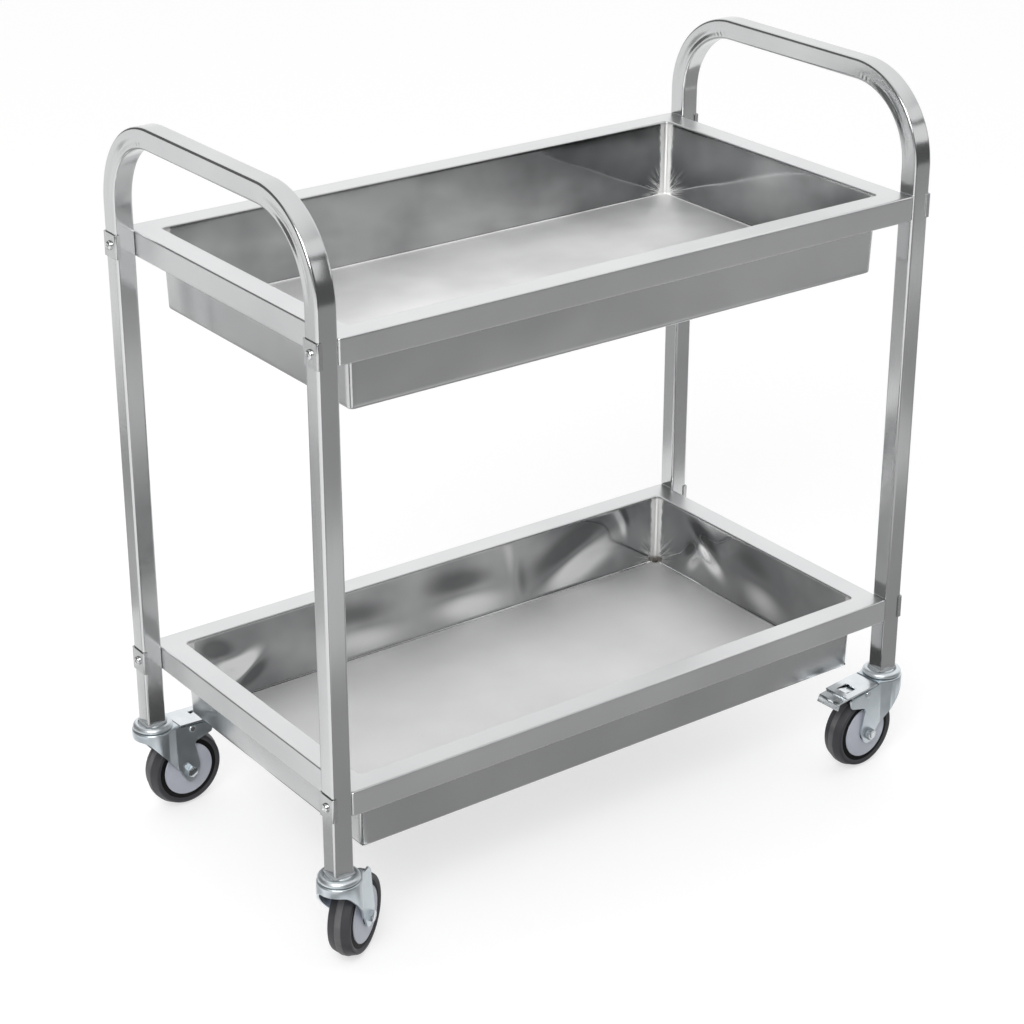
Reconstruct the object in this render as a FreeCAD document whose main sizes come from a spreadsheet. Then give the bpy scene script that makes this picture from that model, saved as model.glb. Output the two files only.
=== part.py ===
"""Two-tier stainless service cart: two bent square-tube end frames, two folded bowl
trays screwed between them, and four swivel casters, two of them with foot brakes.
Millimetres. The origin lies on the floor under the middle of the cart, +X runs along
the long side, +Y to the back and +Z up."""

import FreeCAD, Part
import math
import os
import re

import Sketcher

# Driving dimensions: each name is a cell of the sheet, with its value in millimetres or degrees.
SIZES = {
    # whole cart
    "overall_length": 850,
    "overall_width": 450,
    "overall_height": 900,
    # end frames, one bent tube each
    "tube_side": 25,
    "tube_wall": 1.2,
    "tube_corner": 3,
    "handle_bend": 98,
    # trays: how far the handle stands over the upper rim, and the lower rim over the legs' feet
    "handle_rise": 142,
    "lower_rise": 101,
    "tray_sheet": 0.8,
    "flange_width": 30,
    "skirt_height": 30,
    "skirt_return": 9,
    "rim_corner": 3,
    "rim_fold": 1.2,
    "bowl_depth": 97,
    "bowl_taper": 2.5,
    "bowl_corner": 5,
    "floor_fold": 2.5,
    # joints between trays and legs
    "screw_drop": 15,
    "screw_radius": 3,
    "screw_head_radius": 5.6,
    "screw_head_height": 3.4,
    "hole_clearance": 0.3,
    "saddle_sheet": 1.5,
    "saddle_height": 29,
    "saddle_lip": 5,
    "saddle_corner": 2.2,
    "bracket_sheet": 2.5,
    "bracket_length": 44,
    "bracket_depth": 27,
    "bracket_margin": 2.5,
    "nut_flats": 10,
    "nut_height": 5,
    "screw_tip": 2,
    # caster seat in the leg
    "insert_depth": 32,
    "insert_flange": 2,
    "insert_rim": 1.2,
    "fit_clearance": 0.1,
    "stem_radius": 6,
    "stem_length": 28,
    # swivel head
    "cap_radius": 24.5,
    "cap_height": 7,
    "cap_round": 4.5,
    "swivel_gap": 0.8,
    "crown_radius": 25.5,
    "crown_plate": 4,
    "crown_height": 11,
    "crown_round": 2.5,
    "pin_head_radius": 10,
    "pin_head_height": 3,
    "running_gap": 0.3,
    "ball_radius": 2.5,
    "ball_circle": 16.5,
    "ball_count": 10,
    # fork
    "caster_trail": 39,
    "axle_drop": 78,
    "fork_sheet": 2.5,
    "fork_inside": 34,
    "fork_brow": 19,
    "fork_sweep": 11,
    "fork_flank": 6,
    "fork_neck": 21,
    "fork_waist": 7,
    "fork_eye": 14,
    "fork_round": 3,
    "cheek_drop": 3.5,
    "cheek_chamfer": 6,
    # wheel and axle
    "wheel_diameter": 100,
    "tyre_width": 28,
    "tyre_crown": 15,
    "tyre_bevel": 2.6,
    "tyre_round": 3,
    "rim_radius": 40,
    "rim_width": 25,
    "rim_wall": 8,
    "web_width": 5,
    "hub_radius": 11,
    "cover_radius": 34,
    "cover_sheet": 1.6,
    "cover_dome": 1.4,
    "axle_radius": 4,
    "sleeve_radius": 6,
    "bolt_flats": 13,
    "bolt_head_turn": 30,
    "bolt_head_height": 5.3,
    "axle_nut_height": 6.5,
    "axle_tip": 1.5,
    # brake, places along the fork measured back from the axle
    "hood_reach": 36,
    "hood_slope": 7.5,
    "hood_depth": 12,
    "brake_pin_back": 5,
    "brake_pin_drop": 20,
    "brake_pin_radius": 2.5,
    "brake_rivet_radius": 4.4,
    "brake_rivet_height": 1.8,
    "brake_throw": 8,
    "pedal_sheet": 2.4,
    "pedal_gap": 0.6,
    "pedal_drop": 0.5,
    "pedal_front": 2,
    "pedal_slope": 4,
    "pedal_eye": 5,
    "plate_reach": 42,
    "toe_reach": 54,
    "toe_step": 2.2,
    "toe_lip": 5,
    "toe_drop": 8,
    "toe_width": 35,
    "window_start": 16,
    "window_length": 17,
    "window_width": 18,
    "tongue_margin": 2,
    "tongue_drop": 3,
    "shoe_start": 15,
    "shoe_length": 12,
    "shoe_clearance": 0.4,
    # shapes that keep their proportions: parts of an eye's radius, a head's height, a crown's radius
    "eye_flat_ratio": 0.42,
    "eye_round_ratio": 0.58,
    "head_round_ratio": 0.8,
    "crown_bow_ratio": 0.98,
    # where each caster points when the cart was parked, trail direction from +X
    "rear_left_turn": 3,
    "front_left_turn": 34,
    "front_right_turn": 183,
    "rear_right_turn": 214,
}

# Places worked out from the sizes, as expressions of the sheet's names.
LEG_X = "(overall_length - tube_side) / 2"
LEG_Y = "(overall_width - tube_side) / 2"
FOOT = "(wheel_diameter / 2 + axle_drop)"
RIMS = {"upper": "(overall_height - handle_rise)", "lower": f"({FOOT} + lower_rise)"}
TRAY_HALF_X = "(overall_length / 2 - tube_side)"
TRAY_HALF_Y = "(overall_width / 2)"
CAP_TOP = "(-insert_flange)"
RACE = "(-insert_flange - cap_height)"
CROWN_TOP = "(-insert_flange - cap_height - swivel_gap)"
BALL_LEVEL = "(-insert_flange - cap_height - swivel_gap / 2)"
CROWN_FOOT = "(-insert_flange - cap_height - swivel_gap - crown_height)"
FORK_OUT = "(fork_inside / 2 + fork_sheet)"
WHEEL_RADIUS = "(wheel_diameter / 2)"
HOOD_X = "(caster_trail + hood_reach)"
BRAKE_X = "(caster_trail + brake_pin_back)"
PEDAL_SIDE = "fork_inside / 2 - pedal_gap"


def hood_top(x):
    """Height over x of the cheeks' top edges, which fall away behind the crown."""
    fall = "(hood_slope / (caster_trail + hood_reach - crown_radius))"
    return f"{CROWN_TOP} - cheek_drop - (({x}) - crown_radius) * {fall}"


def pedal_top(x, below="0"):
    """Height over x of the released pedal's top, less what is below it."""
    return f"{CROWN_TOP} - pedal_drop - (({x}) - crown_radius) * tan(pedal_slope * 1 deg) - ({below})"


CASTERS = {
    "front_left": (-1, -1, False),
    "rear_left": (-1, 1, True),
    "front_right": (1, -1, True),
    "rear_right": (1, 1, False),
}

doc = FreeCAD.newDocument("service_cart")
sheet = doc.addObject("Spreadsheet::Sheet", "dims")
for row, (alias, size) in enumerate(SIZES.items(), start=1):
    sheet.set(f"A{row}", alias)
    sheet.set(f"B{row}", str(size))
    sheet.setAlias(f"B{row}", alias)
doc.recompute()


def named(text):
    """Point every size's name in an expression at its cell."""
    return re.sub(r"[a-z][a-z0-9_]*", lambda w: "dims." + w[0] if w[0] in SIZES else w[0], text)


def value(text):
    """The number that an expression of sizes comes to."""
    return float(sheet.evalExpression(named(text)))


def bind(item, prop, text):
    """Tie a property to an expression of sizes."""
    item.setExpression(prop, named(text))


def add(kind, name):
    return doc.addObject(kind, name)


def new_sketch(body, name, plane="XY_Plane", level="0"):
    """A sketch on one of the body's own planes, raised along the plane's normal."""
    sketch = body.newObject("Sketcher::SketchObject", name)
    datum = next(f for f in body.Origin.OriginFeatures if f.Role == plane)
    sketch.AttachmentSupport = [(datum, "")]
    sketch.MapMode = "FlatFace"
    bind(sketch, "AttachmentOffset.Base.z", level)
    return sketch


def fix(sketch, kind, *where, size):
    """One sketch dimension, tied to the sizes."""
    index = sketch.addConstraint(Sketcher.Constraint(kind, *where, value(size)))
    bind(sketch, f"Constraints[{index}]", size)


def circle(sketch, x, y, radius):
    """A circle about (x, y)."""
    middle = FreeCAD.Vector(value(x), value(y), 0)
    index = sketch.addGeometry(Part.Circle(middle, FreeCAD.Vector(0, 0, 1), value(radius)))
    fix(sketch, "DistanceX", index, 3, size=x)
    fix(sketch, "DistanceY", index, 3, size=y)
    fix(sketch, "Radius", index, size=radius)


def tangent_arc(before, here, after, radius):
    """The arc that rounds the corner at here, with its two ends, first end first."""
    inward = (before - here).normalize()
    onward = (after - here).normalize()
    half = inward.getAngle(onward) / 2
    reach = radius / math.tan(half)
    middle = here + (inward + onward).normalize() * (radius / math.sin(half))
    first = here + inward * reach
    last = here + onward * reach
    left_turn = inward.cross(onward).z < 0
    start, end = (first, last) if left_turn else (last, first)
    angles = [math.atan2(p.y - middle.y, p.x - middle.x) for p in (start, end)]
    ring = Part.Circle(middle, FreeCAD.Vector(0, 0, 1), radius)
    return Part.ArcOfCircle(ring, *angles), first, last, left_turn


def outline(sketch, corners, closed=True):
    """Straight runs through corners (x, y) or (x, y, radius), all expressions of sizes.
    A corner with a radius is rounded by an arc tangent to both of its runs."""
    points = [FreeCAD.Vector(value(c[0]), value(c[1]), 0) for c in corners]
    count = len(points)
    runs = count if closed else count - 1
    arcs = {}
    for i, corner in enumerate(corners):
        if len(corner) > 2:
            around = (points[i - 1], points[i], points[(i + 1) % count])
            arcs[i] = tangent_arc(*around, value(corner[2]))
    lines = []
    for i in range(runs):
        nxt = (i + 1) % count
        start = arcs[i][2] if i in arcs else points[i]
        end = arcs[nxt][1] if nxt in arcs else points[nxt]
        lines.append(sketch.addGeometry(Part.LineSegment(start, end)))
    for i, corner in enumerate(corners):
        coming = lines[i - 1] if closed or i > 0 else None
        going = lines[i] if i < runs else None
        if i in arcs:
            arc, _, _, left_turn = arcs[i]
            bend = sketch.addGeometry(arc)
            mark = sketch.addGeometry(Part.Point(points[i]), True)
            fix(sketch, "DistanceX", mark, 1, size=corner[0])
            fix(sketch, "DistanceY", mark, 1, size=corner[1])
            sketch.addConstraint(Sketcher.Constraint("PointOnObject", mark, 1, coming))
            sketch.addConstraint(Sketcher.Constraint("PointOnObject", mark, 1, going))
            ends = (1, 2) if left_turn else (2, 1)
            sketch.addConstraint(Sketcher.Constraint("Tangent", coming, 2, bend, ends[0]))
            sketch.addConstraint(Sketcher.Constraint("Tangent", going, 1, bend, ends[1]))
            fix(sketch, "Radius", bend, size=corner[2])
        else:
            held, end = (going, 1) if going is not None else (coming, 2)
            fix(sketch, "DistanceX", held, end, size=corner[0])
            fix(sketch, "DistanceY", held, end, size=corner[1])
            if coming is not None and going is not None:
                sketch.addConstraint(Sketcher.Constraint("Coincident", coming, 2, going, 1))


def rounded_rectangle(sketch, half_x, half_y, corner):
    """A rectangle about the sketch's origin with rounded corners."""
    signs = ((-1, -1), (1, -1), (1, 1), (-1, 1))
    outline(sketch, [(f"{sx} * ({half_x})", f"{sy} * ({half_y})", corner) for sx, sy in signs])


def hexagon(sketch, flats, turn="0"):
    """A hexagon about the sketch's origin, measured across its flats, with a corner at turn."""
    corners = []
    for k in range(6):
        angle = f"({60 * k} + {turn}) * 1 deg"
        corners.append((f"{flats} / sqrt(3) * cos({angle})", f"{flats} / sqrt(3) * sin({angle})"))
    outline(sketch, corners)


def feature(body, kind, sketch, **settings):
    """A sketch-based feature; a setting given as text is an expression of sizes."""
    made = body.newObject("PartDesign::" + kind, f"{sketch.Name}_{kind.lower()}")
    made.Profile = sketch
    for prop, setting in settings.items():
        if prop in ("Length", "Angle"):
            bind(made, prop, setting)
        else:
            setattr(made, prop, setting)
    return made


def bore(body, sketch):
    """Cut a sketch's outlines right through, both ways."""
    return feature(body, "Pocket", sketch, Type="ThroughAll", SideType="Symmetric")


def turned(body, sketch, axis="V_Axis", kind="Revolution"):
    """Turn a profile a full circle about one of its sketch's axes."""
    return feature(body, kind, sketch, ReferenceAxis=(sketch, [axis]), Angle="360")


def loft(body, kind, first, second):
    """Straight-sided loft from one outline to another."""
    made = feature(body, kind, first, Ruled=True)
    made.Sections = [second]
    return made


def round_edges(body, radius, chosen):
    """Fillet the edges of the body's last feature that the test picks."""
    doc.recompute()
    base = body.Tip
    names = [f"Edge{i}" for i, edge in enumerate(base.Shape.Edges, start=1) if chosen(edge)]
    fillet = body.newObject("PartDesign::Fillet", f"{body.Name}_fillet")
    fillet.Base = (base, names)
    bind(fillet, "Radius", radius)


def lies_at(edge, level):
    """Whether an edge runs flat at a height given as an expression of sizes."""
    box = edge.BoundBox
    height = value(level)
    return abs(box.ZMin - height) < 1e-4 and abs(box.ZMax - height) < 1e-4


def copy_of(item, name, x="0", y="0", z="0", turn="0"):
    """The same piece set down at (x, y, z), turned about the vertical."""
    made = add("Part::Compound", name)
    made.Links = [item]
    made.Placement.Rotation = FreeCAD.Rotation(FreeCAD.Vector(0, 0, 1), 1)
    bind(made, "Placement.Base.x", x)
    bind(made, "Placement.Base.y", y)
    bind(made, "Placement.Base.z", z)
    bind(made, "Placement.Rotation.Angle", f"({turn}) * 1 deg")
    return made


def group_of(items, name):
    """Identical pieces kept together as one group of solids."""
    made = add("Part::Compound", name)
    made.Links = items
    return made


subparts = []


def hand_in(item, label):
    """Name a finished sub-part and keep it for export."""
    item.Label = label
    subparts.append(item)


def end_frame():
    """One continuous square tube bent into an upside-down U: two legs and the push handle."""
    body = add("PartDesign::Body", "end_frame_tube")
    section = new_sketch(body, "tube_section", level=FOOT)
    for inset, corner in (("0", "tube_corner"), ("tube_wall", "tube_corner - tube_wall")):
        half = f"tube_side / 2 - {inset}"
        near = f"-({LEG_Y}) - ({half})"
        far = f"-({LEG_Y}) + ({half})"
        left, right = f"-({half})", half
        square = [(left, near), (right, near), (right, far), (left, far)]
        outline(section, [(x, y, corner) for x, y in square])
    path = new_sketch(body, "tube_path", "YZ_Plane")
    top = "overall_height - tube_side / 2"
    bends = [(f"-({LEG_Y})", top, "handle_bend"), (LEG_Y, top, "handle_bend")]
    outline(path, [(f"-({LEG_Y})", FOOT), *bends, (LEG_Y, FOOT)], closed=False)
    tube = feature(body, "AdditivePipe", section)
    tube.Spine = path
    holes = new_sketch(body, "tube_holes", "YZ_Plane")
    for side in (-1, 1):
        for rim in RIMS.values():
            circle(holes, f"{side} * {LEG_Y}", f"{rim} - screw_drop", "screw_radius + hole_clearance")
    bore(body, holes)
    return body


def bowl_tray():
    """Folded sheet tray with its rim's top at zero: outer skirt with a return along its
    foot, flat flange, and a deep bowl whose walls lean in towards the floor."""
    body = add("PartDesign::Body", "bowl_tray")
    corner = "rim_corner"
    block = new_sketch(body, "rim_block", level="-skirt_height")
    rounded_rectangle(block, TRAY_HALF_X, TRAY_HALF_Y, corner)
    feature(body, "Pad", block, Length="skirt_height")
    hollow = new_sketch(body, "rim_hollow", level="-tray_sheet")
    inside = [f"{half} - tray_sheet" for half in (TRAY_HALF_X, TRAY_HALF_Y)]
    rounded_rectangle(hollow, *inside, "rim_corner - tray_sheet")
    feature(body, "Pocket", hollow, Length="skirt_height")
    foot = new_sketch(body, "skirt_foot", level="-skirt_height")
    rounded_rectangle(foot, TRAY_HALF_X, TRAY_HALF_Y, corner)
    lip = [f"{half} - skirt_return" for half in (TRAY_HALF_X, TRAY_HALF_Y)]
    rounded_rectangle(foot, *lip, corner)
    feature(body, "Pad", foot, Length="tray_sheet")

    def bowl_outline(name, level, inset, radius):
        sketch = new_sketch(body, name, level=level)
        halves = [f"{half} - flange_width - ({inset})" for half in (TRAY_HALF_X, TRAY_HALF_Y)]
        rounded_rectangle(sketch, *halves, radius)
        return sketch

    outer = "bowl_corner + tray_sheet"
    mouth = bowl_outline("bowl_mouth_outside", "0", "-tray_sheet", outer)
    floor = bowl_outline("bowl_floor_outside", "-bowl_depth", "bowl_taper - tray_sheet", outer)
    loft(body, "AdditiveLoft", mouth, floor)
    mouth = bowl_outline("bowl_mouth", "0", "0", "bowl_corner")
    floor = bowl_outline("bowl_floor", "tray_sheet - bowl_depth", "bowl_taper", "bowl_corner")
    loft(body, "SubtractiveLoft", mouth, floor)
    holes = new_sketch(body, "skirt_holes", "YZ_Plane")
    for side in (-1, 1):
        circle(holes, f"{side} * {LEG_Y}", "-screw_drop", "screw_radius + hole_clearance")
    bore(body, holes)
    round_edges(body, "rim_fold", lambda e: lies_at(e, "-tray_sheet"))
    round_edges(body, "rim_fold + tray_sheet", lambda e: lies_at(e, "0"))
    round_edges(body, "floor_fold", lambda e: lies_at(e, "tray_sheet - bowl_depth"))
    round_edges(body, "floor_fold + tray_sheet", lambda e: lies_at(e, "-bowl_depth"))
    return body


def saddle():
    """Pressed saddle plate that wraps the outer face of a leg under its screw's head."""
    body = add("PartDesign::Body", "leg_saddle")
    face = "-tube_side / 2"
    back = f"{face} - saddle_sheet"
    lip = f"{face} + saddle_lip"
    inner = "tube_side / 2 + fit_clearance"
    outer = f"{inner} + saddle_sheet"
    channel = new_sketch(body, "saddle_channel")
    lower = [(lip, f"-({inner})"), (lip, f"-({outer})"), (back, f"-({outer})", "saddle_corner")]
    upper = [(back, outer, "saddle_corner"), (lip, outer), (lip, inner)]
    root = [(face, inner), (face, f"-({inner})")]
    outline(channel, [*root, *lower, *upper])
    feature(body, "Pad", channel, Length="saddle_height", SideType="Symmetric")
    hole = new_sketch(body, "saddle_hole", "YZ_Plane")
    circle(hole, "0", "0", "screw_radius + hole_clearance")
    bore(body, hole)
    return body


def tray_screw():
    """Pan-head machine screw lying along X, its head's seat at zero."""
    body = add("PartDesign::Body", "tray_screw")
    profile = new_sketch(body, "screw_profile")
    reach = "saddle_sheet + tube_side + tray_sheet + bracket_sheet + nut_height + screw_tip"
    head = [
        ("-screw_head_height", "0"),
        ("-screw_head_height", "screw_head_radius", "screw_head_height * head_round_ratio"),
        ("0", "screw_head_radius"),
    ]
    shank = [("0", "screw_radius"), (reach, "screw_radius"), (reach, "0")]
    outline(profile, [*shank[::-1], *head[::-1]])
    turned(body, profile, "H_Axis")
    return body


def corner_bracket():
    """Angle bracket welded inside a skirt's corner, with the screw hole in its short arm."""
    body = add("PartDesign::Body", "corner_bracket")
    angle = new_sketch(body, "bracket_angle", level="-skirt_height + tray_sheet")
    arms = [
        ("0", "0", "rim_corner"),
        ("bracket_length", "0"),
        ("bracket_length", "bracket_sheet"),
        ("bracket_sheet", "bracket_sheet"),
        ("bracket_sheet", "bracket_depth"),
        ("0", "bracket_depth"),
    ]
    outline(angle, arms)
    feature(body, "Pad", angle, Length="skirt_height - 2 * tray_sheet - bracket_margin")
    hole = new_sketch(body, "bracket_hole", "YZ_Plane")
    circle(hole, "tube_side / 2 - tray_sheet", "-screw_drop", "screw_radius + hole_clearance")
    feature(body, "Pocket", hole, Length="bracket_length", SideType="Symmetric")
    return body


def hex_nut(name, flats, height, hole):
    """Hexagon nut lying along X, its seat at zero."""
    body = add("PartDesign::Body", name)
    rim = new_sketch(body, f"{name}_rim", "YZ_Plane")
    hexagon(rim, flats)
    circle(rim, "0", "0", hole)
    feature(body, "Pad", rim, Length=height)
    return body


def leg_insert():
    """Square plug pressed into a leg's foot, with a flange under it and the stem's bore."""
    body = add("PartDesign::Body", "leg_insert")
    plug = new_sketch(body, "insert_plug", level="-insert_flange")
    half = "tube_side / 2 - tube_wall - fit_clearance"
    rounded_rectangle(plug, half, half, "tube_corner - tube_wall")
    feature(body, "Pad", plug, Length="insert_depth + insert_flange")
    flange = new_sketch(body, "insert_foot", level="-insert_flange")
    half = "tube_side / 2 + insert_rim"
    rounded_rectangle(flange, half, half, "tube_corner")
    feature(body, "Pad", flange, Length="insert_flange")
    hole = new_sketch(body, "insert_bore")
    circle(hole, "0", "0", "stem_radius + fit_clearance / 2")
    bore(body, hole)
    return body


def caster_stem():
    """Stem and kingpin in one: screwed up into the leg, riveted over under the crown."""
    body = add("PartDesign::Body", "caster_stem")
    profile = new_sketch(body, "stem_profile", "XZ_Plane")
    head = f"{CROWN_TOP} - crown_plate - running_gap"
    rivet = [
        ("0", f"{head} - pin_head_height"),
        ("pin_head_radius", f"{head} - pin_head_height", "pin_head_height * head_round_ratio"),
        ("pin_head_radius", head),
        ("stem_radius", head),
    ]
    outline(profile, [*rivet, ("stem_radius", "stem_length"), ("0", "stem_length")])
    turned(body, profile)
    return body


def ball_groove(body, name):
    """Half-round race for the swivel balls, cut into the body's face at the ball circle."""
    race = new_sketch(body, name, "XZ_Plane")
    circle(race, "ball_circle", BALL_LEVEL, "ball_radius + running_gap")
    turned(body, race, kind="Groove")


def swivel_cap():
    """Domed upper half of the swivel head, still with the leg, with the upper ball race."""
    body = add("PartDesign::Body", "swivel_cap")
    profile = new_sketch(body, "cap_profile", "XZ_Plane")
    bore_radius = "stem_radius + fit_clearance / 2"
    ring = [
        (bore_radius, RACE),
        ("cap_radius", RACE, "cap_round / 4"),
        ("cap_radius", CAP_TOP, "cap_round"),
        (bore_radius, CAP_TOP),
    ]
    outline(profile, ring)
    turned(body, profile)
    ball_groove(body, "cap_race")
    return body


def ball_ring():
    """The swivel balls, evenly round their race."""
    balls = []
    for k in range(int(value("ball_count"))):
        ball = add("Part::Sphere", f"swivel_ball_{k}")
        bind(ball, "Radius", "ball_radius")
        angle = f"{k} * 360 deg / ball_count"
        bind(ball, "Placement.Base.x", f"ball_circle * cos({angle})")
        bind(ball, "Placement.Base.y", f"ball_circle * sin({angle})")
        bind(ball, "Placement.Base.z", BALL_LEVEL)
        balls.append(ball)
    return group_of(balls, "swivel_balls")


def fork_side(braked):
    """Side outline of a fork, from the crown's front down to the axle eye and up its tail."""
    eye = "fork_eye"
    axle_z = "-axle_drop"
    under = f"{axle_z} - {eye}"
    tight = f"{eye} * eye_round_ratio"
    left, right = f"caster_trail - {eye}", f"caster_trail + {eye}"
    waist = "caster_trail + fork_waist"
    front = [
        ("-crown_radius", CROWN_TOP),
        ("-crown_radius", CROWN_FOOT),
        ("-fork_brow", CROWN_FOOT, "fork_sweep"),
        (left, f"{axle_z} + {eye} / 5", tight),
        (f"caster_trail - {eye} * eye_flat_ratio", under, tight),
        (f"caster_trail + {eye} * eye_flat_ratio", under, tight),
        (right, f"{axle_z} + {eye} / 3", eye),
    ]
    if braked:
        foot = f"{hood_top(HOOD_X)} - hood_depth"
        return [
            *front,
            (waist, f"{foot} - {eye} / 2", "fork_round * 2"),
            (f"{HOOD_X} - fork_round", foot, "fork_round"),
            (HOOD_X, hood_top(HOOD_X), "fork_round / 2"),
            ("crown_radius", hood_top("crown_radius")),
            ("crown_radius", CROWN_TOP),
        ]
    shoulder = f"{CROWN_TOP} - cheek_drop"
    return [
        *front,
        (waist, f"{CROWN_FOOT} - {eye}", eye),
        (f"{waist} - fork_round / 2", f"{shoulder} - cheek_chamfer"),
        (f"{waist} - fork_round / 2 - cheek_chamfer", shoulder),
        ("crown_radius", shoulder),
        ("crown_radius", CROWN_TOP),
    ]


def fork_plan(sketch, inset, tail):
    """Plan outline of a fork: round at the crown, drawn in to two straight cheeks behind."""
    wide = f"crown_radius - {inset}"
    narrow = f"{FORK_OUT} - {inset}"
    half = [
        (f"-({wide})", wide, f"({wide}) * crown_bow_ratio"),
        ("fork_flank", wide, "fork_eye / 2"),
        ("fork_neck", narrow, "fork_eye / 2"),
        (tail, narrow),
    ]
    mirrored = [(corner[0], f"-({corner[1]})", *corner[2:]) for corner in half]
    outline(sketch, [*mirrored, *half[::-1]])


def keep_side(body, name, side):
    """Trim a body to a side outline by cutting away all that lies outside it."""
    sketch = new_sketch(body, name, "XZ_Plane")
    reach = "4 * axle_drop"
    signs = ((-1, -1), (1, -1), (1, 1), (-1, 1))
    outline(sketch, [(f"{sx} * {reach}", f"{sz} * {reach}") for sx, sz in signs])
    outline(sketch, side)
    bore(body, sketch)


def fork(name, braked):
    """Pressed steel fork: a round crown whose rim runs down into two cheeks to the axle.
    The braked one has its cheeks drawn out over the tyre to carry the pedal between them."""
    under = "-axle_drop - 2 * fork_eye"
    tail = f"{HOOD_X} + fork_eye"
    shell = add("PartDesign::Body", f"{name}_shell")
    plan = new_sketch(shell, f"{name}_plan", level=under)
    fork_plan(plan, "0", tail)
    feature(shell, "Pad", plan, Length=f"{CROWN_TOP} - ({under})")
    keep_side(shell, f"{name}_side", fork_side(braked))
    round_edges(shell, "crown_round", lambda e: lies_at(e, CROWN_TOP) and e.BoundBox.XMin < 0)
    room = add("PartDesign::Body", f"{name}_room")
    plan = new_sketch(room, f"{name}_room_plan", level=f"2 * ({under})")
    fork_plan(plan, "fork_sheet", f"2 * ({tail})")
    feature(room, "Pad", plan, Length=f"-3 * ({under})")
    roof = f"{CROWN_TOP} - crown_plate"
    ahead, behind = "-2 * crown_radius", f"3 * {HOOD_X}"
    below = [(ahead, roof), (ahead, under), (behind, under)]
    rear = [(behind, "axle_drop"), ("crown_radius", "axle_drop"), ("crown_radius", roof)]
    keep_side(room, f"{name}_room_side", [*below, *rear])
    hollow = add("Part::Cut", f"{name}_hollow")
    hollow.Base, hollow.Tool = shell, room
    cuts = [rod(f"{name}_kingpin_hole", "stem_radius + running_gap", "0", "0", upright=True)]
    cuts.append(rod(f"{name}_axle_hole", "axle_radius + fit_clearance", "caster_trail", "-axle_drop"))
    race = add("Part::Torus", f"{name}_race")
    bind(race, "Radius1", "ball_circle")
    bind(race, "Radius2", "ball_radius + running_gap")
    bind(race, "Placement.Base.z", BALL_LEVEL)
    cuts.append(race)
    if braked:
        hole = "brake_pin_radius + fit_clearance / 2"
        cuts.append(rod(f"{name}_brake_hole", hole, BRAKE_X, "-brake_pin_drop"))
    drilled = hollow
    for cut in cuts:
        step = add("Part::Cut", f"{cut.Name}_cut")
        step.Base, step.Tool = drilled, cut
        drilled = step
    return drilled


def rod(name, radius, x, z, upright=False):
    """A long cylinder for boring: across the fork at (x, z), or upright on the swivel axis."""
    made = add("Part::Cylinder", name)
    reach = "4 * fork_inside"
    bind(made, "Radius", radius)
    bind(made, "Height", reach)
    if upright:
        bind(made, "Placement.Base.z", f"-({reach}) / 2")
    else:
        made.Placement.Rotation = FreeCAD.Rotation(FreeCAD.Vector(1, 0, 0), 90)
        bind(made, "Placement.Base.x", x)
        bind(made, "Placement.Base.y", f"({reach}) / 2")
        bind(made, "Placement.Base.z", z)
    return made


def axle_bolt():
    """Hexagon bolt across the fork, head outside one cheek."""
    body = add("PartDesign::Body", "axle_bolt")
    shank = new_sketch(body, "axle_shank", "XZ_Plane", FORK_OUT)
    circle(shank, "0", "0", "axle_radius")
    reach = f"2 * {FORK_OUT} + axle_nut_height + axle_tip"
    feature(body, "Pad", shank, Length=reach, Reversed=True)
    head = new_sketch(body, "axle_head", "XZ_Plane", FORK_OUT)
    hexagon(head, "bolt_flats", "bolt_head_turn")
    feature(body, "Pad", head, Length="bolt_head_height")
    return body


def axle_nut():
    """Hexagon nut outside the other cheek."""
    body = add("PartDesign::Body", "axle_nut")
    rim = new_sketch(body, "axle_nut_rim", "XZ_Plane", f"-({FORK_OUT})")
    hexagon(rim, "bolt_flats")
    circle(rim, "0", "0", "axle_radius + fit_clearance / 2")
    feature(body, "Pad", rim, Length="axle_nut_height", Reversed=True)
    return body


def axle_sleeve():
    """Spacer tube on the bolt, clamped between the cheeks; the wheel turns on it."""
    body = add("PartDesign::Body", "axle_sleeve")
    ring = new_sketch(body, "sleeve_ring", "XZ_Plane")
    circle(ring, "0", "0", "sleeve_radius")
    circle(ring, "0", "0", "axle_radius + fit_clearance")
    feature(body, "Pad", ring, Length="fork_inside", SideType="Symmetric")
    return body


def wheel_core():
    """Moulded wheel centre: hub, thin web and the rim under the tyre."""
    body = add("PartDesign::Body", "wheel_core")
    profile = new_sketch(body, "core_profile")
    hole = "sleeve_radius + fit_clearance"
    hub = "fork_inside / 2 - running_gap"
    inner_rim = "rim_radius - rim_wall"
    half = [
        (hole, hub),
        ("hub_radius", hub),
        ("hub_radius", "web_width / 2", "fork_round"),
        (inner_rim, "web_width / 2", "fork_round"),
        (inner_rim, "rim_width / 2"),
        ("rim_radius", "rim_width / 2"),
    ]
    mirrored = [(corner[0], f"-({corner[1]})", *corner[2:]) for corner in half[::-1]]
    outline(profile, [*half, *mirrored])
    turned(body, profile)
    return body


def tyre():
    """Rubber tyre bonded round the rim, with a flat tread band between bevelled shoulders."""
    body = add("PartDesign::Body", "tyre")
    profile = new_sketch(body, "tyre_profile")
    shoulder = f"{WHEEL_RADIUS} - tyre_bevel"
    half = [
        ("rim_radius", "rim_width / 2"),
        ("rim_radius + tyre_round", "tyre_width / 2", "tyre_round"),
        (shoulder, "tyre_width / 2", "tyre_round"),
        (WHEEL_RADIUS, "tyre_crown / 2", "tyre_round"),
    ]
    mirrored = [(corner[0], f"-({corner[1]})", *corner[2:]) for corner in half[::-1]]
    outline(profile, [*half, *mirrored])
    turned(body, profile)
    return body


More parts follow.
